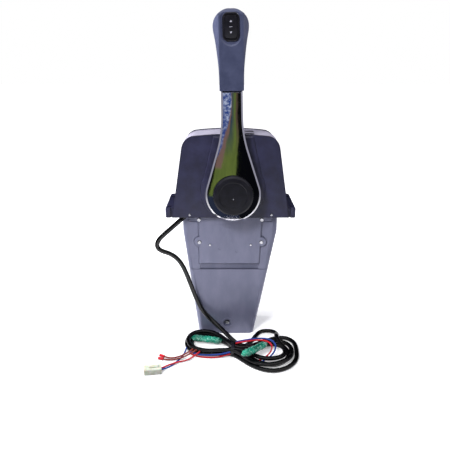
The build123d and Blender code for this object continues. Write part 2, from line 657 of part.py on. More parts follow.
def bezel_block(clearance):
    middle = HUB_Z + ROCKER_R
    w, h = BEZEL_W / 2 + clearance, BEZEL_L / 2 + clearance
    frame = block(HUB_X - w, HUB_X + w, GRIP_FACE_Y - 0.6, SWITCH_FRONT_Y, middle - h, middle + h)
    return fillet(frame.edges().filter_by(Axis.Y), BEZEL_CORNER)


def trunnions(radius, length):
    """Stub pins at the rocker's sides, on the axis that it tips about."""
    reach = ROCKER_W / 2 + length
    return Pos(HUB_X, TRUNNION_Y, HUB_Z + ROCKER_R) * Rot(0, 90, 0) * Cylinder(radius, 2 * reach)


def rocker_bezel():
    middle = HUB_Z + ROCKER_R
    w, h = ROCKER_W / 2 + 0.3, ROCKER_L / 2 + ROCKER_CLEAR
    window = block(HUB_X - w, HUB_X + w, -70, 0, middle - h, middle + h)
    window = fillet(window.edges().filter_by(Axis.Y), WINDOW_CORNER)
    frame = bezel_block(0)
    frame = chamfer(frame.faces().sort_by(Axis.Y)[0].edges(), 0.5)
    return leaning(frame - window - trunnions(TRUNNION_R + RUN, TRUNNION_L + 0.2))


def trim_switch():
    """Switch under the rocker, its top dished at both ends so that the rocker can tip."""
    middle = HUB_Z + ROCKER_R
    body = block(
        HUB_X - SWITCH_HALF, HUB_X + SWITCH_HALF, SWITCH_FRONT_Y + 0.02, SWITCH_BACK_Y,
        middle - SWITCH_HALF_L, middle + SWITCH_HALF_L,
    )
    for side in (-1, 1):
        dish = polygon(
            (SWITCH_FRONT_Y - 1, side * 2.0), (SWITCH_FRONT_Y + 0.02, side * 2.0),
            (SWITCH_FRONT_Y + SWITCH_DISH, side * (SWITCH_HALF_L - 1)),
            (SWITCH_FRONT_Y - 1, side * (SWITCH_HALF_L - 1)),
        )
        body -= Pos(HUB_X, 0, middle) * extrude(Plane.YZ * dish, amount=SWITCH_HALF - 0.8, both=True)
    return leaning(body)


def rocker():
    """Rocker with a hollow top and stub pins; its back rises to both tips so that it can tip in its bezel."""
    half = ROCKER_L / 2
    face = BUTTON_FACE_Y
    back = Polyline(
        (face, half), (SWITCH_FRONT_Y - 2.5, half), (SWITCH_FRONT_Y - 0.5, 3.0),
        (SWITCH_FRONT_Y - 0.5, -3.0), (SWITCH_FRONT_Y - 2.5, -half), (face, -half),
    )
    top = ThreePointArc((face, -half), (face + 1.1, 0), (face, half))
    body = extrude(Plane.YZ * make_face([back, top]), amount=ROCKER_W / 2, both=True)
    body = fillet(body.edges().filter_by(Axis.Y), ROCKER_CORNER)
    body = Pos(HUB_X, 0, HUB_Z + ROCKER_R) * body
    return leaning(body + trunnions(TRUNNION_R, TRUNNION_L))


# ---- mechanism ----
def gear_outline(teeth, turn):
    """Involute spur gear about the origin, with one tooth centred at the angle turn (degrees)."""
    pitch = MODULE * teeth / 2
    pressure = math.radians(20)
    base = pitch * math.cos(pressure)
    outer, root = pitch + 0.9 * MODULE, pitch - 1.2 * MODULE
    low = max(base, root + 0.2)
    half_pitch = (math.pi * MODULE / 2 - BACKLASH) / 2 / pitch
    pitch_inv = math.tan(pressure) - pressure

    def flank(radius):
        angle = math.acos(min(1.0, base / radius))
        return half_pitch + pitch_inv - (math.tan(angle) - angle)

    radii = [low, (low + pitch) / 2, pitch, (pitch + outer) / 2, outer]
    points = []
    for n in range(teeth):
        mid = math.radians(turn) + 2 * math.pi * n / teeth
        lower = [(root, -flank(low) * 1.08)] + [(r, -flank(r)) for r in radii]
        upper = [(r, flank(r)) for r in reversed(radii)] + [(root, flank(low) * 1.08)]
        points += [(r * math.cos(mid + a), r * math.sin(mid + a)) for r, a in lower + upper]
    return polygon(*points)


def drive_gear(teeth, y):
    gear = gear_outline(teeth, -90.0) - Circle(SHAFT_R + SEAT)
    return along_y(Pos(HUB_X, HUB_Z) * gear, y, y + GEAR_T)


def sector_gear(teeth, y, half_angle):
    """Driven gear, cut down to the teeth that its travel uses, with a round hub on its pivot."""
    gear = gear_outline(teeth, 90.0 + 180.0 / teeth)
    reach = MODULE * teeth * 1.6
    rays = [math.radians(a) for a in (90 - half_angle, 90, 90 + half_angle)]
    fan = polygon((0, 0), *[(reach * math.cos(a), reach * math.sin(a)) for a in rays])
    outline = (gear & fan) + Circle(12.0) - Circle(PIVOT_R + RUN)
    return along_y(Pos(HUB_X, PIVOT_Z) * outline, y, y + GEAR_T)


def cable_arm(y):
    """Flat arm that hangs from the sector's hub, with a hole for the cable end."""
    bar = polygon((-9, 0), (9, 0), (6, -ARM_LENGTH), (-6, -ARM_LENGTH))
    outline = bar + Circle(12.0) + Pos(0, -ARM_LENGTH) * Circle(6.0)
    outline = outline - Circle(PIVOT_R + RUN) - Pos(0, -ARM_LENGTH) * Circle(ARM_HOLE_R)
    return along_y(Pos(HUB_X, PIVOT_Z) * outline, y, y + ARM_T)


def detent_disc():
    disc = Circle(DETENT_R) - Circle(SHAFT_R + SEAT)
    for angle in (90 - DETENT_ANGLE, 90, 90 + DETENT_ANGLE):  # notches for ahead, neutral and astern
        a = math.radians(angle)
        disc -= Pos((DETENT_R + 1.5) * math.cos(a), (DETENT_R + 1.5) * math.sin(a)) * Circle(ROLLER_R)
    return along_y(Pos(HUB_X, HUB_Z) * disc, DETENT_Y, DETENT_Y + DETENT_T)


def detent_roller():
    return rod_y(ROLLER_R, HUB_X, ROLLER_Z, DETENT_Y - 1, DETENT_Y + DETENT_T + 1)


def detent_leaf():
    """Flat spring from one frame rod to the roller."""
    return block(ROD_X[0] - 4, HUB_X + 4.5, DETENT_Y, DETENT_Y + DETENT_T, LEAF_Z, LEAF_Z + LEAF_T)


def mechanism_frame():
    """Two plates with feet on the flange, joined by two rods; tongues below carry the arm pivots."""
    foot = FRAME_FOOT_HALF
    outline = polygon(
        (-foot, FLANGE_TOP), (foot, FLANGE_TOP), (FRAME_TOP_HALF, FRAME_TOP_Z), (-FRAME_TOP_HALF, FRAME_TOP_Z)
    )
    outline += polygon(
        (-TONGUE_HALF, FLANGE_TOP + 1), (TONGUE_HALF, FLANGE_TOP + 1),
        (TONGUE_HALF - 3, PIVOT_Z - 10), (3 - TONGUE_HALF, PIVOT_Z - 10),
    )
    frame = along_y(Pos(HUB_X, 0) * outline, FRAME_FRONT_Y, FRAME_FRONT_Y + FRAME_T)
    frame += along_y(Pos(HUB_X, 0) * outline, FRAME_REAR_Y, FRAME_REAR_Y + FRAME_T)
    for y0, y1 in ((FRONT_Y + 5, FRAME_FRONT_Y + 1), (FRAME_REAR_Y + 2, REAR_Y - 4.5)):
        frame += block(HUB_X - foot, HUB_X + foot, y0, y1, FLANGE_TOP, FLANGE_TOP + FRAME_T)
    for x in ROD_X:
        frame += rod_y(ROD_R, x, LEAF_Z - ROD_R - 0.05, FRAME_FRONT_Y + 1, FRAME_REAR_Y + 1)
    frame -= rod_y(BUSH_R + SEAT, HUB_X, HUB_Z, FRONT_Y, REAR_Y)
    frame -= rod_y(PIVOT_R + SEAT, HUB_X, PIVOT_Z, FRONT_Y, REAR_Y)
    for x, y in FRAME_SCREWS:
        frame -= rod_z(FRAME_SCREW_R + FIT, x, y, FLANGE_TOP - 1, FLANGE_TOP + FRAME_T + 1)
    return frame


def frame_screws():
    screws = []
    seat = FLANGE_TOP + FRAME_T
    for x, y in FRAME_SCREWS:
        head = rod_z(FRAME_HEAD_R, x, y, seat, seat + FRAME_HEAD_T)
        head = fillet(head.faces().sort_by(Axis.Z)[-1].edges(), 1.1)
        screws.append(rod_z(FRAME_SCREW_R, x, y, seat - FRAME_SCREW_L, seat) + head)
    return screws


def bush(y0, y1):
    return rod_y(BUSH_R, HUB_X, HUB_Z, y0, y1) - rod_y(SHAFT_R + RUN, HUB_X, HUB_Z, -90, 90)


def pivot_pin(y0, y1):
    return rod_y(PIVOT_R, HUB_X, PIVOT_Z, y0, y1)


def neutral_switch():
    """Snap switch on the front frame plate, its plunger towards the shift gear."""
    y0 = FRAME_FRONT_Y + FRAME_T
    body = block(HUB_X - 42, HUB_X - 26, y0, y0 + 9, HUB_Z - 18, HUB_Z - 4)
    return body + block(HUB_X - 26.5, HUB_X - 23.2, y0 + 2, y0 + 6, HUB_Z - 13, HUB_Z - 9)


def warning_buzzer():
    can = rod_z(BUZZER_R, *BUZZER, FLANGE_TOP, FLANGE_TOP + BUZZER_H)
    can = fillet(can.faces().sort_by(Axis.Z)[-1].edges(), 1.2)
    return can - rod_z(1.6, *BUZZER, FLANGE_TOP + BUZZER_H - 2.5, FLANGE_TOP + BUZZER_H + 1)


# ---- harness ----
LEAD_ROUTE = [
    EXIT, (-80.5, -19.2, 188.6), (-92.4, -20.2, 178.4), (-102.6, -21, 169.4), (-109.2, -21, 160.8),
    (-109.4, -21, 151.6), (-102.0, -21, 146.2), (-91.6, -21, 143.2), (-80.6, -21.2, 135.8),
    (-72.6, -21.5, 124.4), (-66.6, -21.8, 109.6), (-60.4, -22.2, 91.0), (-53.2, -22.8, 69.5),
    (-45.0, -24.5, 50.5), (-32.5, -29.0, 37.0), (-18.5, -37.0, 27.6), (-7.0, -46.8, 21.2),
    (0.5, -57.0, 18.6),
]


def tube(points, diameter, name):
    """A tube on straight runs joined by tangent arcs, as large as the two runs at a corner allow."""
    spots = [Vector(*p) for p in points]
    radii = []
    for a, b, c in zip(spots, spots[1:], spots[2:]):
        turn = math.radians((b - a).get_angle(c - b))
        radii.append(0.45 * min((b - a).length, (c - b).length) / math.tan(turn / 2))
    path = FilletPolyline(*points, radius=radii)
    body = sweep((path ^ 0) * Circle(diameter / 2), path=path)
    expected = math.pi * diameter ** 2 / 4 * path.length
    print(f"{name}: {path.length:.0f} mm, radii {min(radii):.1f} to {max(radii):.0f} mm, "
          f"volume {body.volume / expected:.4f} of section times length")
    return body


def gland_body(clearance):
    """Rubber gland set through the flange at the slant of the lead."""
    back = (Vector(*EXIT) - Vector(*LEAD_ROUTE[1])).normalized()
    start = Vector(*EXIT) - back * clearance
    return Solid.make_cone(
        GLAND_R - 0.7 + clearance, GLAND_R + clearance, GLAND_LENGTH + 2 * clearance, Plane(start, z_dir=back)
    )


def harness_gland():
    return gland_body(0)


def oval(x, y, turn, half_x, half_y):
    return Pos(x, y) * Rot(0, 0, turn) * Ellipse(half_x, half_y)


def hank():
    """Outer shape of the hank: two lobes of turns, drawn together where the tie holds them."""
    left = oval(-35.0, -46.3, -8, 36.0, 30.5) - oval(-34.0, -42.0, -10, 29.5, 17.5)
    right = oval(57.0, -73.0, 0, 47.0, 47.0) + oval(60.0, -24.0, 0, 17.5, 16.5)
    right -= oval(57.0, -73.0, 0, 34.0, 32.0)
    gap = Pos(TIE_X, TIE_Y) * Rectangle(16.0, 140.0)
    body = extrude(left + right - gap, amount=HANK_H)
    waist = block(TIE_X - 12, TIE_X + 12, TIE_Y - TIE_HALF_Y, TIE_Y + TIE_HALF_Y, TIE_T + 0.1, TIE_H)
    return body + waist


def hank_tie():
    w, h = TIE_HALF_Y + 0.05, TIE_H + 0.05
    outer = block(TIE_X - 2.4, TIE_X + 2.4, TIE_Y - w - TIE_T, TIE_Y + w + TIE_T, 0, h + TIE_T)
    return outer - block(TIE_X - 3, TIE_X + 3, TIE_Y - w, TIE_Y + w, TIE_T + 0.05, h)


def taped_plug(start, end, radius):
    a, b = Vector(*start), Vector(*end)
    body = Pos(*((a + b) * 0.5)) * Plane(origin=(0, 0, 0), z_dir=(b - a).normalized()).location * Cylinder(
        radius, (b - a).length
    )
    return fillet(body.edges().filter_by(GeomType.CIRCLE), radius * 0.55)


LEFT_PLUG = ((-61.2, -35.1, 5.75), (-11.2, -46.1, 5.75))
RIGHT_PLUG = ((17.4, -103.0, 20.6), (53.8, -66.5, 15.4))
WIRE_Z = WIRE_D / 2 + 0.05
WIRES = {
    "wire_right_red": [
        (8.0, -66.5, 15.6), (18.0, -62.8, 15.6), (29.5, -59.5, 15.4), (41.0, -57.2, 15.2),
        (52.0, -57.0, 14.8), (61.0, -62.4, 13.6), (63.0, -72.0, 11.4), (58.0, -81.6, 8.0),
        (49.0, -88.8, 5.0), (39.5, -94.2, 4.0),
    ],
    "wire_right_blue": [
        (7.5, -62.6, 15.6), (18.0, -59.0, 15.6), (30.0, -55.6, 15.6), (43.0, -52.8, 15.4),
        (56.5, -52.6, 15.0), (66.8, -59.4, 13.8), (68.6, -71.0, 11.4), (63.0, -82.6, 8.0),
        (53.0, -91.0, 5.0), (43.5, -97.2, 4.0),
    ],
    "wire_left_red": [
        (-0.2, -79.4, 5.6), (-9.0, -80.0, 3.2), (-19.5, -81.4, WIRE_Z), (-31.0, -81.9, WIRE_Z),
        (-42.8, -80.6, WIRE_Z), (-53.2, -76.8, WIRE_Z), (-61.8, -71.0, WIRE_Z),
    ],
    "wire_left_blue": [
        (-0.2, -79.6, 9.4), (-9.0, -79.7, 6.6), (-19.5, -79.8, 4.6), (-31.0, -79.9, 4.0),
        (-42.6, -79.6, 4.0), (-53.0, -76.0, 4.0), (-61.6, -70.4, 4.0),
    ],
    "wire_plug_blue": [
        (-66.2, -62.4, 5.4), (-68.0, -70.0, 3.0), (-71.5, -79.0, WIRE_Z), (-76.5, -88.8, WIRE_Z + 0.05),
        (-83.0, -99.0, WIRE_Z), (-90.0, -107.6, 2.4), (-97.2, -114.15, 4.5),
    ],
    "wire_plug_red": [
        (-45.5, -75.7, 7.6), (-53.0, -83.5, 5.0), (-63.5, -91.0, 3.0), (-75.5, -96.6, 4.3),
        (-86.5, -102.2, 4.4), (-92.8, -106.8, 4.5), (-97.6, -110.8, 4.6),
    ],
    "wire_brown_a": [
        (-56.0, -71.4, 9.0), (-63.0, -77.0, 7.0), (-72.0, -82.6, 5.0), (-81.5, -85.4, 3.6),
        (-90.4, -84.2, 2.12), (-98.0, -80.4, 2.1),
    ],
    "wire_brown_b": [
        (-50.6, -74.2, 9.6), (-58.5, -80.6, 7.8), (-69.5, -86.8, 5.2), (-80.5, -89.6, 3.6),
        (-90.4, -89.0, 2.12), (-98.8, -86.6, 2.1),
    ],
}


def sleeve(points):
    """Insulating sleeve over the last stretch of a wire."""
    end, before = Vector(*points[-1]), Vector(*points[-2])
    way = (end - before).normalized()
    return Solid.make_cylinder(2.05, 8.0, Plane(origin=end, z_dir=way))


def trim_plug():
    """Small nylon plug with a latch rib on top."""
    body = block(-24.5, 0, -6.5, 6.5, 0, 9.0)
    body = chamfer(body.edges().filter_by(Axis.X), 0.8)
    body += block(-18, -5, -1.8, 1.8, 8.5, 10.6)
    return Pos(-97.9, -113.2, 0) * Rot(0, 0, 8) * body


def build():
    os.makedirs("parts", exist_ok=True)
    front, rear = covers()
    case, cable_cover = case_parts()
    grip_front, grip_rear = grip_halves()
    save("base_flange", flange())
    save("front_cover", front)
    save("rear_cover", rear)
    save("top_panel", strip_band(0, housing_solid(STRIP_SINK), housing_solid(STRIP_SINK + STRIP_T)))
    save("lower_case", case)
    save("cable_cover", cable_cover)
    save("access_plate", access_plate())
    save("access_plate_screws", *plate_screws())
    save("plate_small_screws", *small_screws())
    save("cable_cover_screw", screw_y(BOSS_SCREW_R, 3.8, 2.0, BOSS_X, BOSS_Z, BOSS_HEAD_Y, 11.0))
    save("cover_screws", *cover_screws())
    save("case_screws", *case_screws())
    save("mechanism_frame", mechanism_frame())
    save("frame_screws", *frame_screws())
    save("front_bush", bush(PAD_FACE_Y, FRAME_FRONT_Y + FRAME_T))
    save("rear_bush", bush(FRAME_REAR_Y - 2, FRAME_REAR_Y + FRAME_T + 1.5))
    save(
        "pivot_pins",
        pivot_pin(FRAME_FRONT_Y, SHIFT_GEAR_Y + GEAR_T + ARM_T + 1),
        pivot_pin(THROTTLE_GEAR_Y - ARM_T - 1, FRAME_REAR_Y + FRAME_T),
    )
    save("detent_leaf", detent_leaf())
    save("detent_roller", detent_roller())
    save("neutral_switch", neutral_switch())
    save("warning_buzzer", warning_buzzer())
    save("lever_arm", lever_arm())
    save("hub_collar", hub_collar())
    save("main_shaft", main_shaft())
    save("shaft_clip", shaft_clip())
    save("hub_bolt", hub_bolt())
    save("hub_washer", hub_washer())
    save("shift_drive_gear", drive_gear(SHIFT_DRIVE_TEETH, SHIFT_GEAR_Y))
    save("throttle_drive_gear", drive_gear(THROTTLE_DRIVE_TEETH, THROTTLE_GEAR_Y))
    save("detent_disc", detent_disc())
    save("grip_front", grip_front)
    save("grip_rear", grip_rear)
    save("grip_screws", *grip_screws())
    save("rocker_bezel", rocker_bezel())
    save("trim_switch", trim_switch())
    save("trim_rocker", rocker())
    save("throttle_only_button", button())
    save("button_spring", button_spring())
    save("shift_sector", sector_gear(SHIFT_TEETH, SHIFT_GEAR_Y, 70.0))
    save("shift_arm", cable_arm(SHIFT_GEAR_Y + GEAR_T))
    save("throttle_sector", sector_gear(THROTTLE_TEETH, THROTTLE_GEAR_Y, 92.0))
    save("throttle_arm", cable_arm(THROTTLE_GEAR_Y - ARM_T))
    save("harness_gland", harness_gland())
    save("harness_lead", tube(LEAD_ROUTE, LEAD_D, "harness_lead"))
    save("harness_hank", hank())
    save("hank_tie", hank_tie())
    save("taped_plug_left", taped_plug(*LEFT_PLUG, 5.6))
    save("taped_plug_right", taped_plug(*RIGHT_PLUG, 7.0))
    for name, points in WIRES.items():
        save(name, tube(points, WIRE_D, name))
    save("trim_plug", trim_plug())
    save("bullet_sleeves", sleeve(WIRES["wire_brown_a"]), sleeve(WIRES["wire_brown_b"]))


build()
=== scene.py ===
"""Looks of the boat throttle control lever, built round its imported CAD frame. Metres, +Z up."""

import json
import math

import bmesh
import bpy
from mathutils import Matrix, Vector
from mathutils.bvhtree import BVHTree


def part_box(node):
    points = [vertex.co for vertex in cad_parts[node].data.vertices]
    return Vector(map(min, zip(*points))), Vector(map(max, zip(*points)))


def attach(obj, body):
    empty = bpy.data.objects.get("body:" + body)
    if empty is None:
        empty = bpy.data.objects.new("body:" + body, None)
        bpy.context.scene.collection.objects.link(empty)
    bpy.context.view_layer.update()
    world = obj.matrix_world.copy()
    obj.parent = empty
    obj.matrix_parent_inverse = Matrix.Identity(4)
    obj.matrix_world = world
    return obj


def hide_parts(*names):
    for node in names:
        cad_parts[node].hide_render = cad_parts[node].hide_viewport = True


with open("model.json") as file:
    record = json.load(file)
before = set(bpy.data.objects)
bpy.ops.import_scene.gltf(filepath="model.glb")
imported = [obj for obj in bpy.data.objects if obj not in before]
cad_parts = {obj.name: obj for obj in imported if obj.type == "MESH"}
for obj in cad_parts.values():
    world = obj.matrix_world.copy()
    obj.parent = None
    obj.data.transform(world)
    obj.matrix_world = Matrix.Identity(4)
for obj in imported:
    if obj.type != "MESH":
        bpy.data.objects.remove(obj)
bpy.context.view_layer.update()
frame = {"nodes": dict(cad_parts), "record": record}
NODES = frame["nodes"]
scene = bpy.context.scene

MM = 0.001
HUB = Vector((3.3, -43.0, 241.3)) * MM
LEAN = math.radians(1.1)
ROCKER_ALONG = 213.7  # mm from the hub to the middle of the trim rocker, along the lever


# ---------------------------------------------------------------- small helpers
def ease(low, high, value):
    """Share from 0 at low to 1 at high, level at both ends."""
    share = min(max((value - low) / (high - low), 0.0), 1.0)
    return share * share * (3 - 2 * share)


def linear(code):
    """sRGB hex to the linear colour that shaders take."""
    out = []
    for i in (0, 2, 4):
        c = int(code[i : i + 2], 16) / 255
        out.append(c / 12.92 if c <= 0.04045 else ((c + 0.055) / 1.055) ** 2.4)
    return (*out, 1.0)


def mesh_piece(name, verts, faces, material, rounded=True):
    """Linked object of one mesh, with doubled points merged and its normals made to agree."""
    mesh = bpy.data.meshes.new(name)
    mesh.from_pydata([tuple(v) for v in verts], [], faces)
    bm = bmesh.new()
    bm.from_mesh(mesh)
    bmesh.ops.remove_doubles(bm, verts=bm.verts, dist=1e-6)
    bmesh.ops.recalc_face_normals(bm, faces=bm.faces)
    bm.to_mesh(mesh)
    bm.free()
    mesh.materials.append(material)
    if rounded:
        mesh.shade_smooth()
    piece = bpy.data.objects.new(name, mesh)
    scene.collection.objects.link(piece)
    return piece


def skin(rings, capped=True):
    """Vertices and faces of a tube over rings with equal numbers of points."""
    count = len(rings[0])
    verts = [v for ring in rings for v in ring]
    faces = []
    for i in range(len(rings) - 1):
        for j in range(count):
            a, b = i * count + j, i * count + (j + 1) % count
            faces.append((a, b, b + count, a + count))
    if capped:
        faces.append(tuple(range(count))[::-1])
        faces.append(tuple(range(len(verts) - count, len(verts))))
    return verts, faces


# ---------------------------------------------------------------- materials
def add(tree, kind, inputs=None, **settings):
    """Adds a shader node; each input is a plain value or another node's output to link.

    MapRange's inputs 0 to 4 are the value, the two ends read and the two ends given.
    Mix's inputs 0, 6 and 7 are the share and the two colours.
    """
    made = tree.nodes.new("ShaderNode" + kind)
    for key, value in settings.items():
        setattr(made, key, value)
    for key, value in (inputs or {}).items():
        if isinstance(value, bpy.types.NodeSocket):
            tree.links.new(value, made.inputs[key])
        else:
            made.inputs[key].default_value = value
    return made


def empty_material(name):
    """New material and its node tree, with no nodes in it yet."""
    made = bpy.data.materials.new(name)
    made.use_nodes = True
    made.node_tree.nodes.clear()
    return made, made.node_tree


def surface(name, recipe, *sizes):
    """Material whose recipe returns the inputs of one principled shader."""
    made, tree = empty_material(name)
    body = add(tree, "BsdfPrincipled", recipe(tree, *sizes))
    add(tree, "OutputMaterial", {"Surface": body.outputs[0]})
    return made


EDGE_TONE_STARTS, EDGE_TONE_FULL = 0.985, 0.8  # cosines of the angle between face and rounded edge


def edge_wear_and_shade(tree, radius_mm, wear_and_shade_share):
    """Normal that rounds the edges over, and a mask up to the given share for a second tone along them.

    That tone is wear where it is lighter than the base and painted shade where it is darker. The mask
    starts where the rounding turns the face by 10 degrees and is full at 37.
    """
    soft = add(tree, "Bevel", {"Radius": radius_mm * MM}, samples=6).outputs[0]
    flat = add(tree, "NewGeometry").outputs["Normal"]
    facing = add(tree, "VectorMath", {0: soft, 1: flat}, operation="DOT_PRODUCT").outputs["Value"]
    return soft, add(tree, "MapRange", {0: facing, 1: EDGE_TONE_STARTS, 2: EDGE_TONE_FULL, 3: 0.0, 4: wear_and_shade_share}).outputs[0]


def grained_nylon(tree, colour, handled, wear_and_shade_tone, wear_and_shade_share, edge_mm, grain_mm, rough):
    """Glass-filled nylon from a spark-eroded tool: satin grain, and a second tone along the edges, wear
    where it is lighter than the base and painted shade where it is darker.
    """
    where = add(tree, "TexCoord").outputs["Object"]
    soft, edge = edge_wear_and_shade(tree, edge_mm, wear_and_shade_share)
    grain = add(tree, "TexNoise", {"Vector": where, "Scale": 1000 / grain_mm, "Detail": 2.0}).outputs[0]
    cloud = add(tree, "TexNoise", {
        "Vector": where, "Scale": 1000 / 26, "Detail": 5.0, "Roughness": 0.62,
    }).outputs[0]
    tone = add(tree, "MapRange", {0: cloud, 1: 0.38, 2: 0.66}).outputs[0]
    base = add(tree, "Mix", {0: tone, 6: linear(colour), 7: linear(handled)}, data_type="RGBA").outputs[2]
    base = add(tree, "Mix", {0: edge, 6: base, 7: linear(wear_and_shade_tone)}, data_type="RGBA").outputs[2]
    gloss = add(tree, "MapRange", {0: cloud, 1: 0.3, 2: 0.7, 3: rough - 0.05, 4: rough + 0.07}).outputs[0]
    normal = add(tree, "Bump", {
        "Height": grain, "Distance": 0.05 * MM, "Strength": 0.6, "Normal": soft,
    }).outputs[0]
    return {"Base Color": base, "Roughness": gloss, "Normal": normal, "IOR": 1.53}


def sprayed_casting(tree, colour, thin, wear_and_shade_tone):
    """Grey enamel sprayed on die-cast aluminium: soft orange peel, thinner and duller in places, and edges
    painted darker as painted shade.
    """
    where = add(tree, "TexCoord").outputs["Object"]
    soft, edge = edge_wear_and_shade(tree, 0.6, 0.5)
    peel = add(tree, "TexNoise", {"Vector": where, "Scale": 1000 / 1.6, "Detail": 1.0}).outputs[0]
    runs = add(tree, "Mapping", {"Vector": where, "Scale": (1.0, 1.0, 0.4)}).outputs[0]
    flow = add(tree, "TexNoise", {
        "Vector": runs, "Scale": 1000 / 24, "Detail": 5.0, "Roughness": 0.6,
    }).outputs[0]
    tone = add(tree, "MapRange", {0: flow, 1: 0.36, 2: 0.66}).outputs[0]
    base = add(tree, "Mix", {0: tone, 6: linear(colour), 7: linear(thin)}, data_type="RGBA").outputs[2]
    base = add(tree, "Mix", {0: edge, 6: base, 7: linear(wear_and_shade_tone)}, data_type="RGBA").outputs[2]
    gloss = add(tree, "MapRange", {0: flow, 1: 0.3, 2: 0.7, 3: 0.3, 4: 0.42}).outputs[0]
    normal = add(tree, "Bump", {
        "Height": peel, "Distance": 0.05 * MM, "Strength": 0.5, "Normal": soft,
    }).outputs[0]
    return {
        "Base Color": base, "Metallic": 0.25, "Roughness": gloss, "Normal": normal, "Coat Weight": 0.15,
        "Coat Roughness": 0.2,
    }


def stippled_elastomer(tree):
    """Thermoplastic elastomer over the grip: dull stipple that shines a little where thumbs polish it."""
    where = add(tree, "TexCoord").outputs["Object"]
    soft, edge = edge_wear_and_shade(tree, 0.6, 0.3)
    dots = add(tree, "TexVoronoi", {"Vector": where, "Scale": 1000 / 0.6}).outputs["Distance"]
    thumbed = add(tree, "TexNoise", {
        "Vector": where, "Scale": 1000 / 17, "Detail": 4.0, "Roughness": 0.6,
    }).outputs[0]
    tone = add(tree, "MapRange", {0: thumbed, 1: 0.36, 2: 0.66}).outputs[0]
    base = add(
        tree, "Mix", {0: tone, 6: linear("3D425C"), 7: linear("4B506B")}, data_type="RGBA",
    ).outputs[2]
    base = add(tree, "Mix", {0: edge, 6: base, 7: linear("83889F")}, data_type="RGBA").outputs[2]
    gloss = add(tree, "MapRange", {0: thumbed, 1: 0.3, 2: 0.7, 3: 0.44, 4: 0.32}).outputs[0]
    normal = add(tree, "Bump", {
        "Height": dots, "Distance": 0.03 * MM, "Strength": 0.4, "Normal": soft,
    }).outputs[0]
    return {
        "Base Color": base, "Roughness": gloss, "Normal": normal, "IOR": 1.5, "Sheen Weight": 1.0,
        "Sheen Roughness": 0.3, "Sheen Tint": linear("E6DEE8"),
    }


def chrome_plate(tree):
    """Bright chrome on a polished zinc casting: nearly a mirror, with wiping marks and a slight roll."""
    where = add(tree, "TexCoord").outputs["Object"]
    soft, _ = edge_wear_and_shade(tree, 0.3, 0.0)
    along = add(tree, "Mapping", {"Vector": where, "Scale": (1.0, 1.0, 0.3)}).outputs[0]
    wiped = add(tree, "TexNoise", {
        "Vector": along, "Scale": 1000 / 9, "Detail": 6.0, "Roughness": 0.7,
    }).outputs[0]
    rough = add(tree, "MapRange", {0: wiped, 1: 0.45, 2: 0.8, 3: 0.02, 4: 0.07}).outputs[0]
    roll = add(tree, "TexNoise", {"Vector": along, "Scale": 1000 / 18, "Detail": 0.0}).outputs[0]
    normal = add(tree, "Bump", {
        "Height": roll, "Distance": 0.12 * MM, "Strength": 0.5, "Normal": soft,
    }).outputs[0]
    return {"Base Color": linear("E2E1E8"), "Metallic": 1.0, "Roughness": rough, "Normal": normal}


def turned_acetal(tree):
    """Acetal button faced on a lathe: black with fine rings, 0.9 mm apart so that they still show."""
    where = add(tree, "TexCoord").outputs["Object"]
    soft, edge = edge_wear_and_shade(tree, 0.4, 0.06)
    centred = add(tree, "VectorMath", {0: where, 1: HUB}, operation="SUBTRACT").outputs[0]
    flat = add(tree, "VectorMath", {0: centred, 1: (1.0, 0.0, 1.0)}, operation="MULTIPLY").outputs[0]
    radius = add(tree, "VectorMath", {0: flat}, operation="LENGTH").outputs["Value"]
    turns = add(tree, "Math", {0: radius, 1: 2 * math.pi / (0.9 * MM)}, operation="MULTIPLY").outputs[0]
    rings = add(tree, "Math", {0: turns}, operation="SINE").outputs[0]
    handled = add(tree, "TexNoise", {"Vector": where, "Scale": 1000 / 8, "Detail": 5.0}).outputs[0]
    tone = add(tree, "MapRange", {0: handled, 1: 0.4, 2: 0.7}).outputs[0]
    base = add(
        tree, "Mix", {0: tone, 6: linear("0B0B13"), 7: linear("13131D")}, data_type="RGBA",
    ).outputs[2]
    base = add(tree, "Mix", {0: edge, 6: base, 7: linear("3C3C4A")}, data_type="RGBA").outputs[2]
    gloss = add(tree, "MapRange", {0: handled, 1: 0.3, 2: 0.75, 3: 0.3, 4: 0.42}).outputs[0]
    normal = add(tree, "Bump", {
        "Height": rings, "Distance": 0.006 * MM, "Strength": 0.5, "Normal": soft,
    }).outputs[0]
    return {
        "Base Color": base, "Roughness": gloss, "Normal": normal, "IOR": 1.48, "Specular IOR Level": 0.3,
    }


def drawn_metal(tree, colour, dull, rough, lines):
    """Zinc-plated or machined steel: drawn lines 0.5 mm apart and duller spots where oil has dried."""
    where = add(tree, "TexCoord").outputs["Object"]
    soft, edge = edge_wear_and_shade(tree, 0.25, 0.4)
    along = add(tree, "Mapping", {"Vector": where, "Scale": lines}).outputs[0]
    drawn = add(tree, "TexNoise", {"Vector": along, "Scale": 1000 / 0.5, "Detail": 2.0}).outputs[0]
    spots = add(tree, "TexNoise", {"Vector": where, "Scale": 1000 / 3.5, "Detail": 5.0}).outputs[0]
    tone = add(tree, "MapRange", {0: spots, 1: 0.45, 2: 0.75, 3: 0.0, 4: 0.4}).outputs[0]
    base = add(tree, "Mix", {0: tone, 6: linear(colour), 7: linear(dull)}, data_type="RGBA").outputs[2]
    base = add(tree, "Mix", {0: edge, 6: base, 7: linear("F0F0F2")}, data_type="RGBA").outputs[2]
    gloss = add(tree, "MapRange", {0: spots, 1: 0.35, 2: 0.75, 3: rough, 4: rough + 0.16}).outputs[0]
    normal = add(tree, "Bump", {
        "Height": drawn, "Distance": 0.01 * MM, "Strength": 0.5, "Normal": soft,
    }).outputs[0]
    return {"Base Color": base, "Metallic": 1.0, "Roughness": gloss, "Normal": normal}


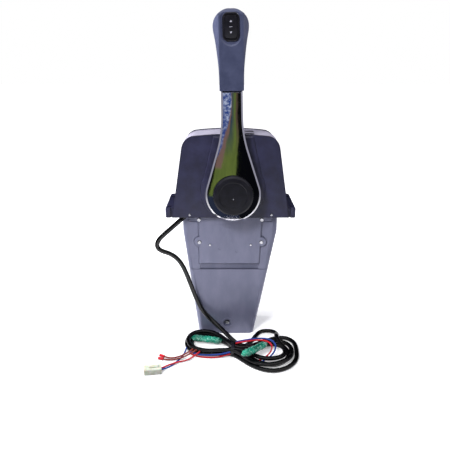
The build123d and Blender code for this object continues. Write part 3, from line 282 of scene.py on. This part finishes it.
def pvc_sheath(tree, colour, wear_and_shade_tone, rough):
    """PVC cable sheath: a smooth extruded skin, semi-gloss, with scuffs and a little talc."""
    where = add(tree, "TexCoord").outputs["Object"]
    scuffs = add(tree, "TexNoise", {
        "Vector": where, "Scale": 1000 / 6, "Detail": 5.0, "Roughness": 0.65,
    }).outputs[0]
    skin_grain = add(tree, "TexNoise", {"Vector": where, "Scale": 1000 / 0.6, "Detail": 2.0}).outputs[0]
    tone = add(tree, "MapRange", {0: scuffs, 1: 0.5, 2: 0.76, 3: 0.0, 4: 0.35}).outputs[0]
    base = add(tree, "Mix", {0: tone, 6: linear(colour), 7: linear(wear_and_shade_tone)}, data_type="RGBA").outputs[2]
    gloss = add(tree, "MapRange", {0: scuffs, 1: 0.3, 2: 0.75, 3: rough, 4: rough + 0.16}).outputs[0]
    normal = add(tree, "Bump", {"Height": skin_grain, "Distance": 0.02 * MM, "Strength": 0.5}).outputs[0]
    return {
        "Base Color": base, "Roughness": gloss, "Normal": normal, "IOR": 1.53, "Specular IOR Level": 0.35,
    }


def stretched_tape(tree):
    """Thin green PVC tape: glossy where it is pulled tight, with pale streaks along the creases that are
    painted highlights.
    """
    where = add(tree, "TexCoord").outputs["Object"]
    crease = add(tree, "TexNoise", {
        "Vector": where, "Scale": 1000 / 5, "Detail": 5.0, "Roughness": 0.7, "Distortion": 1.2,
    }).outputs[0]
    pull = add(tree, "TexNoise", {"Vector": where, "Scale": 1000 / 13, "Detail": 3.0}).outputs[0]
    tone = add(tree, "MapRange", {0: pull, 1: 0.35, 2: 0.65}).outputs[0]
    # Pale streaks along the creases: painted highlights.
    painted_highlight = add(tree, "MapRange", {0: crease, 1: 0.54, 2: 0.66, 3: 0.0, 4: 0.85}).outputs[0]
    base = add(
        tree, "Mix", {0: tone, 6: linear("0B5A48"), 7: linear("1F9A7D")}, data_type="RGBA",
    ).outputs[2]
    base = add(tree, "Mix", {0: painted_highlight, 6: base, 7: linear("9AD8C6")}, data_type="RGBA").outputs[2]
    gloss = add(tree, "MapRange", {0: crease, 1: 0.3, 2: 0.7, 3: 0.18, 4: 0.36}).outputs[0]
    normal = add(tree, "Bump", {"Height": crease, "Distance": 0.5 * MM, "Strength": 0.7}).outputs[0]
    return {
        "Base Color": base, "Roughness": gloss, "Normal": normal, "IOR": 1.53, "Coat Weight": 0.4,
        "Coat Roughness": 0.12,
    }


def natural_nylon(tree):
    """Unfilled nylon plug: milky, yellow-green where it is thick, lit from inside."""
    where = add(tree, "TexCoord").outputs["Object"]
    soft, edge = edge_wear_and_shade(tree, 0.4, 0.5)
    milky = add(tree, "TexNoise", {"Vector": where, "Scale": 1000 / 7, "Detail": 4.0}).outputs[0]
    tone = add(tree, "MapRange", {0: milky, 1: 0.35, 2: 0.65}).outputs[0]
    base = add(
        tree, "Mix", {0: tone, 6: linear("C4C9B4"), 7: linear("DCDFD3")}, data_type="RGBA",
    ).outputs[2]
    base = add(tree, "Mix", {0: edge, 6: base, 7: linear("F4F5EA")}, data_type="RGBA").outputs[2]
    return {
        "Base Color": base, "Roughness": 0.32, "Normal": soft, "IOR": 1.53, "Subsurface Weight": 0.35,
        "Subsurface Scale": 2 * MM, "Coat Weight": 0.2, "Coat Roughness": 0.15,
    }


# Nylon rows: base, handled and edge colours, share of the edge tone, edge radius and grain in mm,
# roughness.
# Metal rows: base and dull colours, roughness, stretch of the drawn lines.
# PVC rows: base and scuffed colours, roughness. Casting row: base, thin and edge colours.
# Edge colours darker than the base, on the black moulding, the pale strip and the grey casting, are
# painted shade along the edges; lighter ones are wear.
RECIPES = {
    "black_moulding": (grained_nylon, "212137", "30304C", "06060A", 0.9, 1.7, 0.9, 0.48),
    "grey_casting": (sprayed_casting, "6F7189", "7F819A", "4A4B5C"),
    "pale_strip": (grained_nylon, "B4B0C3", "C0BCCF", "7C798C", 0.6, 0.4, 0.9, 0.55),
    "chrome": (chrome_plate,),
    "grip_rubber": (stippled_elastomer,),
    "switch_black": (grained_nylon, "08080F", "100F18", "1E1D28", 0.1, 0.5, 0.7, 0.4),
    "button_black": (turned_acetal,),
    "steel": (drawn_metal, "A9AAB0", "5E5E64", 0.14, (1.0, 1.0, 0.05)),
    "gear_steel": (drawn_metal, "8F9094", "55534F", 0.3, (1.0, 0.06, 1.0)),
    "bush_plastic": (grained_nylon, "C9C5B8", "D8D4C8", "E8E5DC", 0.2, 0.5, 0.9, 0.4),
    "frame_metal": (drawn_metal, "A4A5AA", "77777A", 0.38, (1.0, 1.0, 1.0)),
    "cable_black": (pvc_sheath, "020203", "0C0C10", 0.16),
    "green_tape": (stretched_tape,),
    "wire_red": (pvc_sheath, "C01B2A", "D65F69", 0.28),
    "wire_blue": (pvc_sheath, "213E90", "5A72B6", 0.28),
    "wire_brown": (pvc_sheath, "7E322A", "A5665A", 0.28),
    "plug_white": (natural_nylon,),
    "print_white": (grained_nylon, "A9A9B8", "BDBDCA", "D0D0DA", 0.1, 0.2, 0.7, 0.4),
    "print_dark": (grained_nylon, "17161D", "23222B", "34333D", 0.1, 0.2, 0.7, 0.4),
}
MATERIALS = {name: surface(name, *recipe) for name, recipe in RECIPES.items()}

SLOTS = {entry["node"]: entry["material_slot"] for entry in frame["record"]["subparts"]}
for name, node in NODES.items():
    node.data.materials.clear()
    node.data.materials.append(MATERIALS[SLOTS[name]])


# ---------------------------------------------------------------- cords
def points(*triples):
    """Route in metres from points in mm."""
    return [Vector(p) * MM for p in triples]


def spline_curve(name, route, steps):
    """Curve of one open smooth spline with the route as its control points."""
    curve = bpy.data.curves.new(name, "CURVE")
    curve.dimensions = "3D"
    curve.resolution_u = steps
    line = curve.splines.new("NURBS")
    line.points.add(len(route) - 1)
    for point, place in zip(line.points, route):
        point.co = (*place, 1.0)
    line.order_u = 3
    line.use_endpoint_u = True
    return curve


def centre_line(name, route, steps):
    """Points read along the route's own spline."""
    curve = spline_curve(name + "_line", route, steps)
    guide = bpy.data.objects.new(name + "_line", curve)
    scene.collection.objects.link(guide)
    bpy.context.view_layer.update()
    read = bpy.data.meshes.new_from_object(guide.evaluated_get(bpy.context.evaluated_depsgraph_get()))
    line = [v.co.copy() for v in read.vertices]
    bpy.data.objects.remove(guide)
    bpy.data.meshes.remove(read)
    return line


LEAD_WIDTH = 7.0 * MM
TWIN_R = 2.65 * MM
TWIN_OFFSET = LEAD_WIDTH / 2 - TWIN_R
LIES_BELOW = 14 * MM
HANGS_ABOVE = 55 * MM


def twin_profile():
    """Outline of a flat two-core lead, as (across, out) pairs: an arc of 200 degrees round each core."""
    outline = []
    for side, start in ((1, -100), (-1, 80)):
        for step in range(9):
            angle = math.radians(start + 25 * step)
            outline.append((side * TWIN_OFFSET + TWIN_R * math.cos(angle), TWIN_R * math.sin(angle)))
    return outline


def flat_lead(name, line, material):
    """Sweeps the two-core outline; its flat side faces -Y while it hangs and up where it lies."""
    outline = twin_profile()
    rings = []
    for i, place in enumerate(line):
        before, after = line[max(i - 1, 0)], line[min(i + 1, len(line) - 1)]
        way = (after - before).normalized()
        hanging = ease(LIES_BELOW, HANGS_ABOVE, place.z)
        facing = Vector((0, -hanging, 1 - hanging)).normalized()
        across = way.cross(facing).normalized()
        out = across.cross(way).normalized()
        rings.append([place + across * a + out * b for a, b in outline])
    return mesh_piece(name, *skin(rings), material)


LEAD_ROUTE = points(
    (-69.5, -18.6, 198.6), (-80.5, -19.2, 188.6), (-92.4, -20.2, 178.4), (-102.6, -21, 169.4),
    (-109.2, -21, 160.8), (-109.4, -21, 151.6), (-102.0, -21, 146.2), (-91.6, -21, 143.2),
    (-80.6, -21.2, 135.8), (-72.6, -21.5, 124.4), (-66.6, -21.8, 109.6), (-60.4, -22.2, 91.0),
    (-53.2, -22.8, 69.5), (-45.0, -24.5, 50.5), (-32.5, -29.0, 37.0), (-18.5, -37.0, 27.6),
    (-7.0, -46.8, 21.2), (0.5, -57.0, 18.6),
)
# The hank's turns: each goes round the right lobe, under the tie and round the left lobe.
TURNS = points(
    # first turn
    (11, -63, 12.5), (24, -62, 7), (38, -54, 4), (50, -45, 2.8), (62, -37, 2.8), (77, -31, 2.8),
    (91, -33, 2.8), (100.4, -46, 2.8), (100.4, -68, 2.8), (97, -90, 2.8), (84, -107, 2.8),
    (65, -115.6, 2.8), (46, -113, 2.8), (29, -102, 2.8), (15, -87, 3), (4, -75.5, 3),
    (-12, -74.0, 2.8), (-29, -75.6, 2.8), (-46, -73.8, 2.8), (-59, -67, 2.8), (-66.5, -54, 2.8),
    (-67.6, -38, 2.8), (-62, -25, 2.8), (-50, -19.6, 2.8), (-36, -19.6, 2.8), (-22, -26, 2.8),
    (-10, -41, 2.8), (-1, -54, 3), (9, -59.5, 3),
    # second turn
    (22, -56, 2.8), (33, -43, 2.8), (41.5, -25, 2.8), (49, -13.6, 2.8), (60, -11.2, 2.8),
    (70.6, -14, 2.8), (74.6, -24, 5), (72, -38, 9.5), (76, -52, 5.5), (86, -64, 2.8),
    (88, -80, 2.8), (78, -95, 2.8), (62, -103, 2.8), (44, -97, 2.8), (28, -85, 2.8), (14, -73, 7),
    (2, -71, 8), (-13, -68.5, 4), (-30, -70, 3.2), (-46, -66.5, 3.4), (-57, -58, 3.2),
    (-60.4, -47, 3), (-58, -35, 3), (-49, -27.5, 3), (-36, -27.5, 3), (-23, -34, 3),
    (-10, -48, 5.5), (2, -60, 8.4), (14, -64, 8),
    # third turn
    (28, -63, 6), (42, -56, 8), (54, -47, 8), (68, -41.5, 4.5), (82, -43, 3), (92, -53, 2.9),
    (93, -70, 2.9), (88, -88, 6), (75, -101, 7.6), (57, -108, 7.6), (39, -104, 6.6), (24, -92, 6),
    (11, -79, 10), (0, -76.2, 11), (-14, -73, 8.4), (-30, -74.5, 8), (-46, -72.0, 8),
    (-58.5, -64, 8), (-64.6, -51, 8), (-65, -37, 8), (-58, -25.4, 8), (-46, -20.4, 8),
    (-32, -21.6, 8), (-19, -30, 8), (-8, -46, 9.6), (3, -64, 11.6), (15, -69, 10.4),
    # last loop, on the right
    (30, -67, 10), (44, -62, 7.6), (57, -55, 6), (71, -51, 3.4), (81, -57, 2.9), (83, -70, 2.9),
    (78, -84, 6), (66, -93, 8), (50, -94, 8), (35, -86, 8), (20, -77, 10), (7, -73, 11.6),
    (-2, -75.6, 11.6),
)
lead_line = centre_line("harness_lead", LEAD_ROUTE + TURNS, 5)
lead = flat_lead("main_lead", lead_line, MATERIALS["cable_black"])
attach(lead, "control_box")
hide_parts("harness_lead", "harness_hank")


def round_wire(name, route, radius, material):
    """Smooth curve with a round section."""
    curve = spline_curve(name, route, 6)
    curve.bevel_depth = radius
    curve.bevel_resolution = 4
    curve.use_fill_caps = True
    curve.materials.append(material)
    piece = bpy.data.objects.new(name, curve)
    scene.collection.objects.link(piece)
    return piece


WIRE_D = 2.4 * MM
# Route, length in metres, far end and the CAD nodes on that end.
WIRES = {
    "wire_right_red": (points(
        (8.0, -66.5, 15.6), (18.0, -62.8, 15.6), (29.5, -59.5, 15.4), (41.0, -57.2, 15.2),
        (52.0, -57.0, 14.8), (61.0, -62.4, 13.6), (63.0, -72.0, 11.4), (58.0, -81.6, 8.0),
        (49.0, -88.8, 5.0), (39.5, -94.2, 4.0),
    ), 0.099, "plug", ["taped_plug_right"]),
    "wire_right_blue": (points(
        (7.5, -62.6, 15.6), (18.0, -59.0, 15.6), (30.0, -55.6, 15.6), (43.0, -52.8, 15.4),
        (56.5, -52.6, 15.0), (66.8, -59.4, 13.8), (68.6, -71.0, 11.4), (63.0, -82.6, 8.0),
        (53.0, -91.0, 5.0), (43.5, -97.2, 4.0),
    ), 0.110, "plug", ["taped_plug_right"]),
    "wire_left_red": (points(
        (-0.2, -79.4, 5.6), (-9.0, -80.0, 3.2), (-19.5, -81.4, 1.25), (-31.0, -81.9, 1.25),
        (-42.8, -80.6, 1.25), (-53.2, -76.8, 1.25), (-61.8, -71.0, 1.25),
    ), 0.064, "object", []),
    "wire_left_blue": (points(
        (-0.2, -79.6, 9.4), (-9.0, -79.7, 6.6), (-19.5, -79.8, 4.6), (-31.0, -79.9, 4.0),
        (-42.6, -79.6, 4.0), (-53.0, -76.0, 4.0), (-61.6, -70.4, 4.0),
    ), 0.063, "object", []),
    "wire_plug_blue": (points(
        (-66.2, -62.4, 5.4), (-68.0, -70.0, 3.0), (-71.5, -79.0, 1.25), (-76.5, -88.8, 1.3),
        (-83.0, -99.0, 1.25), (-90.0, -107.6, 2.4), (-97.2, -114.15, 4.5),
    ), 0.063, "connector", ["trim_plug"]),
    "wire_plug_red": (points(
        (-45.5, -75.7, 7.6), (-53.0, -83.5, 5.0), (-63.5, -91.0, 3.0), (-75.5, -96.6, 4.3),
        (-86.5, -102.2, 4.4), (-92.8, -106.8, 4.5), (-97.6, -110.8, 4.6),
    ), 0.064, "connector", ["trim_plug"]),
    "wire_brown_a": (points(
        (-56.0, -71.4, 9.0), (-63.0, -77.0, 7.0), (-72.0, -82.6, 5.0), (-81.5, -85.4, 3.6),
        (-90.4, -84.2, 2.12), (-98.0, -80.4, 2.1),
    ), 0.048, "connector", ["bullet_sleeves"]),
    "wire_brown_b": (points(
        (-50.6, -74.2, 9.6), (-58.5, -80.6, 7.8), (-69.5, -86.8, 5.2), (-80.5, -89.6, 3.6),
        (-90.4, -89.0, 2.12), (-98.8, -86.6, 2.1),
    ), 0.054, "connector", ["bullet_sleeves"]),
}


# ---------------------------------------------------------------- pieces on the harness
SPLICE_R = 5.9 * MM
TAPE_LAPS = 7.0
TAPE_STEP = 0.3 * MM
PINCHED = 0.14  # share of the length over which each end narrows
FLATTENED = (1.2, 0.86)  # how wide and how high the splice is for its radius


def taped_splice(name, ends, radius, seed):
    """Splice wrapped in tape: lumpy body, stepped helical laps and pinched ends."""
    a, b = ends
    way = (b - a).normalized()
    across = way.cross(Vector((0, 0, 1))).normalized()
    up = across.cross(way)
    rings = []
    stations, count = 90, 40
    for i in range(stations + 1):
        u = i / stations
        pinch = min(ease(0, PINCHED, u), ease(0, PINCHED, 1 - u))
        ring = []
        for j in range(count):
            angle = 2 * math.pi * j / count
            lap = (u * TAPE_LAPS + angle / (2 * math.pi) + seed) % 1.0
            # Slow, middling and quick waves of lumps, in mm.
            lump = 0.35 * math.sin(9.0 * u + 2.1 * seed + angle)
            lump += 0.3 * math.sin(23.0 * u - 2 * angle + seed)
            lump += 0.16 * math.sin(61.0 * u + 3 * angle + 5 * seed)
            relief = TAPE_STEP * lap + (0.55 * lump - 0.5) * MM
            reach = radius * (0.42 + 0.54 * pinch) + relief * (0.4 + 0.6 * pinch)
            wide = 1.0 + 0.1 * math.sin(5 * u + seed)
            side = math.cos(angle) * reach * wide * FLATTENED[0]
            lift = math.sin(angle) * reach / wide * FLATTENED[1]
            ring.append(a + way * (u * (b - a).length) + across * side + up * lift)
        rings.append(ring)
    return mesh_piece(name, *skin(rings), MATERIALS["green_tape"])


for key, start, end, seed in (
    ("taped_plug_left", (-61.2, -35.1, 5.75), (-11.2, -46.1, 5.75), 0.3),
    ("taped_plug_right", (17.4, -103.0, 20.6), (53.8, -66.5, 15.4), 1.7),
):
    splice = taped_splice(key.replace("plug", "splice"), points(start, end), SPLICE_R, seed)
    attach(splice, "control_box")
    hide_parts(key)

for name, (route, length, far_end, carried) in WIRES.items():
    wire = round_wire(name + "_run", route, WIRE_D / 2, MATERIALS[SLOTS[name]])
    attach(wire, "control_box")
    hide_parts(name)


def tie_band():
    """Tie round the waist of the hank: a thin strap with rounded corners, a little askew."""
    low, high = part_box("hank_tie")
    mid, half = (low + high) / 2, (high - low) / 2
    clear, thick, wide, slant = 0.1 * MM, 1.2 * MM, 4.4 * MM, 0.6 * MM
    squareness = 0.42  # 1 is an ellipse, 0 a rectangle
    rings = []
    steps = 56
    for i in range(steps):
        angle = 2 * math.pi * i / steps
        y, z = (math.copysign(abs(c) ** squareness, c) for c in (math.cos(angle), math.sin(angle)))
        skew = slant * math.sin(angle)
        ring = []
        for side, depth in ((-1, 0), (1, 0), (1, thick), (-1, thick)):
            reach_y, reach_z = half.y - clear - depth, half.z - clear - depth
            ring.append(mid + Vector((side * wide / 2 + skew, y * reach_y, z * reach_z)))
        rings.append(ring)
    verts, faces = skin(rings + [rings[0]], capped=False)
    return mesh_piece("tie_band", verts, faces, MATERIALS["switch_black"], rounded=False)


tie = tie_band()
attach(tie, "control_box")
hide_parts("hank_tie")


# ---------------------------------------------------------------- printed marks
INK = 0.06 * MM
DROP = 0.1  # m, how far before its outline a print starts to look for the face

# Outlines of the marks and where they are drawn, in mm.
IN_FRONT = -90
ARROW = ((0, 1.5), (-1.5, -0.9), (1.5, -0.9))
ARROW_FROM_MIDDLE = 6.2
LINE = ((-1.7, 0.3), (1.7, 0.3), (1.7, -0.3), (-1.7, -0.3))
GLINT_R = 0.7
GLINT_BELOW_HUB = 4.0
GLINT_SIDES = 16
ABOVE = 400
BAR = ((20, -4), (33, -4), (33, 4), (20, 4))
BAR_SHARES = (0.16, 0.4, 0.64)  # of the strip's depth


def printed(name, node, body, shapes, material, way=(0, 1, 0)):
    """Thin print on a node's face: flat outlines dropped onto it along a direction."""
    face = BVHTree.FromObject(NODES[node], bpy.context.evaluated_depsgraph_get())
    toward = Vector(way)
    bm = bmesh.new()
    for outline in shapes:
        bm.faces.new([bm.verts.new(p) for p in outline])
    bmesh.ops.triangulate(bm, faces=bm.faces)
    bmesh.ops.subdivide_edges(bm, edges=bm.edges, cuts=3, use_grid_fill=True)
    for v in bm.verts:
        hit = face.ray_cast(v.co - toward * DROP, toward)[0]
        if hit:
            v.co = hit - toward * INK
    mesh = bpy.data.meshes.new(name)
    bm.to_mesh(mesh)
    bm.free()
    mesh.materials.append(material)
    piece = bpy.data.objects.new(name, mesh)
    scene.collection.objects.link(piece)
    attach(piece, body)


def on_lever(across, along):
    """Point in front of the leaning lever, from the distances along it and across it in mm."""
    x = HUB.x / MM + across * math.cos(LEAN) - along * math.sin(LEAN)
    z = HUB.z / MM + across * math.sin(LEAN) + along * math.cos(LEAN)
    return Vector((x, IN_FRONT, z)) * MM


marks = []
for sign in (1, -1):
    middle = ROCKER_ALONG + sign * ARROW_FROM_MIDDLE
    marks.append([on_lever(across, middle + sign * along) for across, along in ARROW])
marks.append([on_lever(across, ROCKER_ALONG + along) for across, along in LINE])
printed("trim_marks", "trim_rocker", "trim_rocker", marks, MATERIALS["print_white"])

# A small white dot on the button below the hub: a painted highlight where the button shows a bright pip.
turns = [math.tau * i / GLINT_SIDES for i in range(GLINT_SIDES)]
glint_dot = [on_lever(GLINT_R * math.cos(turn), GLINT_R * math.sin(turn) - GLINT_BELOW_HUB) for turn in turns]
printed("painted_glint", "throttle_only_button", "throttle_only_button", [glint_dot], MATERIALS["print_white"])

strip_low, strip_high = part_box("top_panel")
middles = [strip_low.y + share * (strip_high.y - strip_low.y) for share in BAR_SHARES]
bars = [[Vector((x, y + middle / MM, ABOVE)) * MM for x, y in BAR] for middle in middles]
printed("strip_bars", "top_panel", "control_box", bars, MATERIALS["print_dark"], way=(0, 0, -1))


# ---------------------------------------------------------------- floor, light and camera
def shown_directly(tree):
    """1 for rays from the camera and for those that metal or glass sends on."""
    rays = add(tree, "LightPath").outputs
    kinds = ("Camera", "Glossy", "Transmission")
    seen, mirrored, let_through = (rays[f"Is {kind} Ray"] for kind in kinds)
    total = add(tree, "Math", {0: seen, 1: mirrored}, operation="ADD").outputs[0]
    return add(tree, "Math", {0: total, 1: let_through}, operation="ADD", use_clamp=True).outputs[0]


FLOOR_HALF = 8.0  # m
FADE_FROM, FADE_TO = 0.16, 0.45  # m from the middle, where the floor turns into plain white


def pale_floor():
    """Pale floor that fades into the white surround; away from direct view it is mid grey."""
    made, tree = empty_material("floor")
    where = add(tree, "TexCoord").outputs["Object"]
    grain = add(tree, "TexNoise", {"Vector": where, "Scale": 1000 / 40, "Detail": 2.0}).outputs[0]
    tone = add(
        tree, "Mix", {0: grain, 6: linear("F2F2F4"), 7: linear("F6F6F8")}, data_type="RGBA",
    ).outputs[2]
    matt = add(tree, "BsdfDiffuse", {"Color": tone}).outputs[0]
    away = add(tree, "VectorMath", {0: where}, operation="LENGTH").outputs["Value"]
    fade = add(tree, "MapRange", {0: away, 1: FADE_FROM, 2: FADE_TO, 3: 0.3, 4: 1.0}).outputs[0]
    glow = add(tree, "Emission", {"Color": linear("FFFFFF"), "Strength": fade}).outputs[0]
    seen = add(tree, "AddShader", {0: matt, 1: glow}).outputs[0]
    bounce = add(tree, "BsdfDiffuse", {"Color": linear("4A4A55")}).outputs[0]
    both = add(tree, "MixShader", {0: shown_directly(tree), 1: bounce, 2: seen}).outputs[0]
    add(tree, "OutputMaterial", {"Surface": both})
    corners = [(x * FLOOR_HALF, y * FLOOR_HALF, 0) for x, y in ((-1, -1), (1, -1), (1, 1), (-1, 1))]
    mesh_piece("floor", corners, [(0, 1, 2, 3)], made, rounded=False)


def surround():
    """White all round to the eye and in metal, soft grey as the light that fills the shadows."""
    world = bpy.data.worlds.new("studio")
    scene.world = world
    world.use_nodes = True
    tree = world.node_tree
    tree.nodes.clear()
    white = add(tree, "Background", {"Color": linear("FFFFFF"), "Strength": 1.0}).outputs[0]
    fill = add(tree, "Background", {"Color": linear("E4E4F2"), "Strength": 0.24}).outputs[0]
    both = add(tree, "MixShader", {0: shown_directly(tree), 1: fill, 2: white}).outputs[0]
    add(tree, "OutputWorld", {"Surface": both})


SCREEN_Y = -0.88  # m, the painted screen behind the camera
BACK_Y = 0.8  # m, the dark screen behind the control
SCREEN_HALF = 2.4  # m
SCREEN_TOP = 1.7  # m
UPRIGHT_FROM = 0.31  # m, the height above which the painted trunk and leaves stand upright


def seen_in_gloss_only(material, lower, upper):
    """Screen between two lines of points; only the control's shiny surfaces see it."""
    verts = [v for pair in zip(lower, upper) for v in pair]
    faces = [(2 * i, 2 * i + 1, 2 * i + 3, 2 * i + 2) for i in range(len(lower) - 1)]
    screen = mesh_piece(material.name, verts, faces, material, rounded=False)
    for kind in ("camera", "diffuse", "transmission", "shadow", "volume_scatter"):
        setattr(screen, "visible_" + kind, False)


def painted_reflection_screen():
    """Glowing screen behind the camera, no lamp, that only the plating mirrors: a painted reflection of
    sky, a leaning trunk, leaves and deep shade.
    """
    made, tree = empty_material("painted_reflection_screen")
    where = add(tree, "TexCoord").outputs["Object"]
    split = add(tree, "SeparateXYZ", {0: where})
    x, y, z = (split.outputs[axis] for axis in "XYZ")
    tall = add(tree, "Mapping", {"Vector": where, "Scale": (160.0, 160.0, 22.0)}).outputs[0]
    waver = add(tree, "TexNoise", {
        "Vector": tall, "Scale": 1.0, "Detail": 4.0, "Roughness": 0.6,
    }).outputs[0]
    sway = add(tree, "MapRange", {0: waver, 1: 0.2, 2: 0.8, 3: -0.003, 4: 0.003}).outputs[0]
    across = add(tree, "Math", {0: x, 1: sway}, operation="ADD").outputs[0]
    # Left borders of sky, bark and leaves: the place at the top in metres, and the bend below it.
    down = add(tree, "MapRange", {0: z, 1: 0.0, 2: UPRIGHT_FROM, 3: UPRIGHT_FROM, 4: 0.0}).outputs[0]
    bend = add(tree, "Math", {0: down, 1: down}, operation="MULTIPLY").outputs[0]
    past = []
    for start, curve in ((-0.0185, -0.45), (0.0085, -1.25), (0.011, -0.72)):
        border = add(tree, "Math", {0: bend, 1: curve, 2: start}, operation="MULTIPLY_ADD").outputs[0]
        beyond = add(tree, "Math", {0: across, 1: border}, operation="SUBTRACT").outputs[0]
        past.append(add(tree, "MapRange", {0: beyond, 1: -0.0012, 2: 0.0012}).outputs[0])
    in_sky, on_bark, on_leaf = past
    # Near the ground leaves hide sky and bark; the sky has pale spots, more of them higher up.
    low = add(tree, "MapRange", {0: z, 1: 0.1, 2: 0.09}).outputs[0]
    on_leaf = add(tree, "Math", {0: on_leaf, 1: low}, operation="MAXIMUM").outputs[0]
    dots = add(tree, "TexNoise", {
        "Vector": where, "Scale": 1000 / 9, "Detail": 5.0, "Roughness": 0.8,
    }).outputs[0]
    gap = add(tree, "MapRange", {0: dots, 1: 0.48, 2: 0.58}).outputs[0]
    high = add(tree, "MapRange", {0: z, 1: 0.12, 2: 0.34, 3: 0.1, 4: 1.0}).outputs[0]
    gap = add(tree, "Math", {0: gap, 1: high}, operation="MULTIPLY").outputs[0]
    sky = add(
        tree, "Mix", {0: gap, 6: linear("2E4787"), 7: linear("DCE7F8")}, data_type="RGBA",
    ).outputs[2]
    leaf = add(
        tree, "Mix", {0: waver, 6: linear("46552C"), 7: linear("76883F")}, data_type="RGBA",
    ).outputs[2]
    # Higher up, the leaves fade to the blue of distance on the left and end in twigs on the right.
    far_off = add(tree, "MapRange", {0: across, 1: 0.022, 2: 0.01}).outputs[0]
    upper = add(tree, "MapRange", {0: z, 1: 0.13, 2: 0.24, 3: 0.0, 4: 0.9}).outputs[0]
    far_off = add(tree, "Math", {0: far_off, 1: upper}, operation="MULTIPLY").outputs[0]
    leaf = add(tree, "Mix", {0: far_off, 6: leaf, 7: linear("2C3B55")}, data_type="RGBA").outputs[2]
    twig = add(tree, "MapRange", {0: across, 1: 0.0235, 2: 0.0255}).outputs[0]
    twig = add(tree, "Math", {0: twig, 1: upper}, operation="MULTIPLY").outputs[0]
    leaf = add(tree, "Mix", {0: twig, 6: leaf, 7: linear("59463F")}, data_type="RGBA").outputs[2]
    # From left to right: deep shade, sky, bark, leaves, and deep shade again.
    base = add(tree, "Mix", {0: on_bark, 6: sky, 7: linear("7C6359")}, data_type="RGBA").outputs[2]
    base = add(tree, "Mix", {0: on_leaf, 6: base, 7: leaf}, data_type="RGBA").outputs[2]
    base = add(tree, "Mix", {0: in_sky, 6: linear("0A0B0E"), 7: base}, data_type="RGBA").outputs[2]
    in_shade = add(tree, "MapRange", {0: across, 1: 0.03, 2: 0.032}).outputs[0]
    base = add(tree, "Mix", {0: in_shade, 6: base, 7: linear("07080C")}, data_type="RGBA").outputs[2]
    ground = add(
        tree, "Mix", {0: in_shade, 6: linear("2A3142"), 7: linear("0E0F13")}, data_type="RGBA",
    ).outputs[2]
    on_ground = add(tree, "MapRange", {0: y, 1: -0.865, 2: -0.85}).outputs[0]
    base = add(tree, "Mix", {0: on_ground, 6: base, 7: ground}, data_type="RGBA").outputs[2]
    glow = add(tree, "Emission", {"Color": base, "Strength": 1.0}).outputs[0]
    add(tree, "OutputMaterial", {"Surface": glow})
    # A strip of ground, as (y, z), then up behind the camera.
    profile = [(-0.65, 0.002), (-0.80, 0.002), (-0.86, 0.01), (SCREEN_Y, 0.03), (SCREEN_Y, 0.75)]
    lines = [[(side * SCREEN_HALF, *place) for place in profile] for side in (-1, 1)]
    seen_in_gloss_only(made, *lines)


def side_and_back_screens():
    """Grey on both sides and dark behind, so that faces seen on edge don't mirror the white surround."""
    made, tree = empty_material("side_screen")
    where = add(tree, "TexCoord").outputs["Object"]
    split = add(tree, "SeparateXYZ", {0: where})
    # White near the middle and greyer further out: a painted reflection that fades along rounded rims.
    reach = add(tree, "Math", {0: split.outputs["X"]}, operation="ABSOLUTE").outputs[0]
    beside = add(tree, "MapRange", {0: reach, 1: 0.2, 2: 0.8}).outputs[0]
    shade = add(
        tree, "Mix", {0: beside, 6: linear("FFFFFF"), 7: linear("A0A0AB")}, data_type="RGBA",
    ).outputs[2]
    glow = add(tree, "Emission", {"Color": shade, "Strength": 1.0}).outputs[0]
    add(tree, "OutputMaterial", {"Surface": glow})
    for side in (-1, 1):
        profile = [(side * 0.2, 0.003), (side * SCREEN_HALF, 0.003), (side * SCREEN_HALF, SCREEN_TOP)]
        lines = [[(x, y, z) for x, z in profile] for y in (SCREEN_Y, BACK_Y)]
        seen_in_gloss_only(made, *lines)
    made, tree = empty_material("back_screen")
    glow = add(tree, "Emission", {"Color": linear("101015"), "Strength": 1.0}).outputs[0]
    add(tree, "OutputMaterial", {"Surface": glow})
    lines = [[(-SCREEN_HALF, BACK_Y, z), (SCREEN_HALF, BACK_Y, z)] for z in (0.002, SCREEN_TOP)]
    seen_in_gloss_only(made, *lines)


def soft_light(name, place, target, size, power, in_gloss=False):
    """Area lamp turned to its target: places and sizes in metres, power in watts."""
    lamp = bpy.data.lights.new(name, "AREA")
    lamp.shape = "RECTANGLE"
    lamp.size, lamp.size_y = size
    lamp.energy = power
    holder = bpy.data.objects.new(name, lamp)
    holder.visible_glossy = in_gloss
    scene.collection.objects.link(holder)
    holder.location = place
    holder.rotation_euler = (Vector(target) - Vector(place)).to_track_quat("-Z", "Y").to_euler()


pale_floor()
surround()
painted_reflection_screen()
side_and_back_screens()
soft_light("left_box", (-1.1, 0.05, 0.5), (0, -0.02, 0.32), (0.4, 0.8), 21)
soft_light("right_box", (1.1, 0.05, 0.5), (0, -0.02, 0.32), (0.4, 0.8), 8)
soft_light("front_box", (-0.32, -0.68, 0.78), (0, -0.02, 0.25), (0.14, 0.2), 7)
soft_light("overhead", (-0.2, -0.5, 1.4), (0, 0, 0.2), (0.9, 0.7), 2, in_gloss=True)

CAMERA_PLACE = (-0.008, -0.6673, 0.417)
CAMERA_DOWN = 19.5  # degrees below level
LENS_MM = 37.28
SENSOR_MM = 36.0

lens = bpy.data.cameras.new("camera")
lens.lens = LENS_MM
lens.sensor_width = SENSOR_MM
lens.clip_start = 0.01
camera = bpy.data.objects.new("camera", lens)
scene.collection.objects.link(camera)
camera.location = CAMERA_PLACE
camera.rotation_euler = (math.radians(90 - CAMERA_DOWN), 0, 0)
scene.camera = camera
scene.view_settings.view_transform = "Standard"
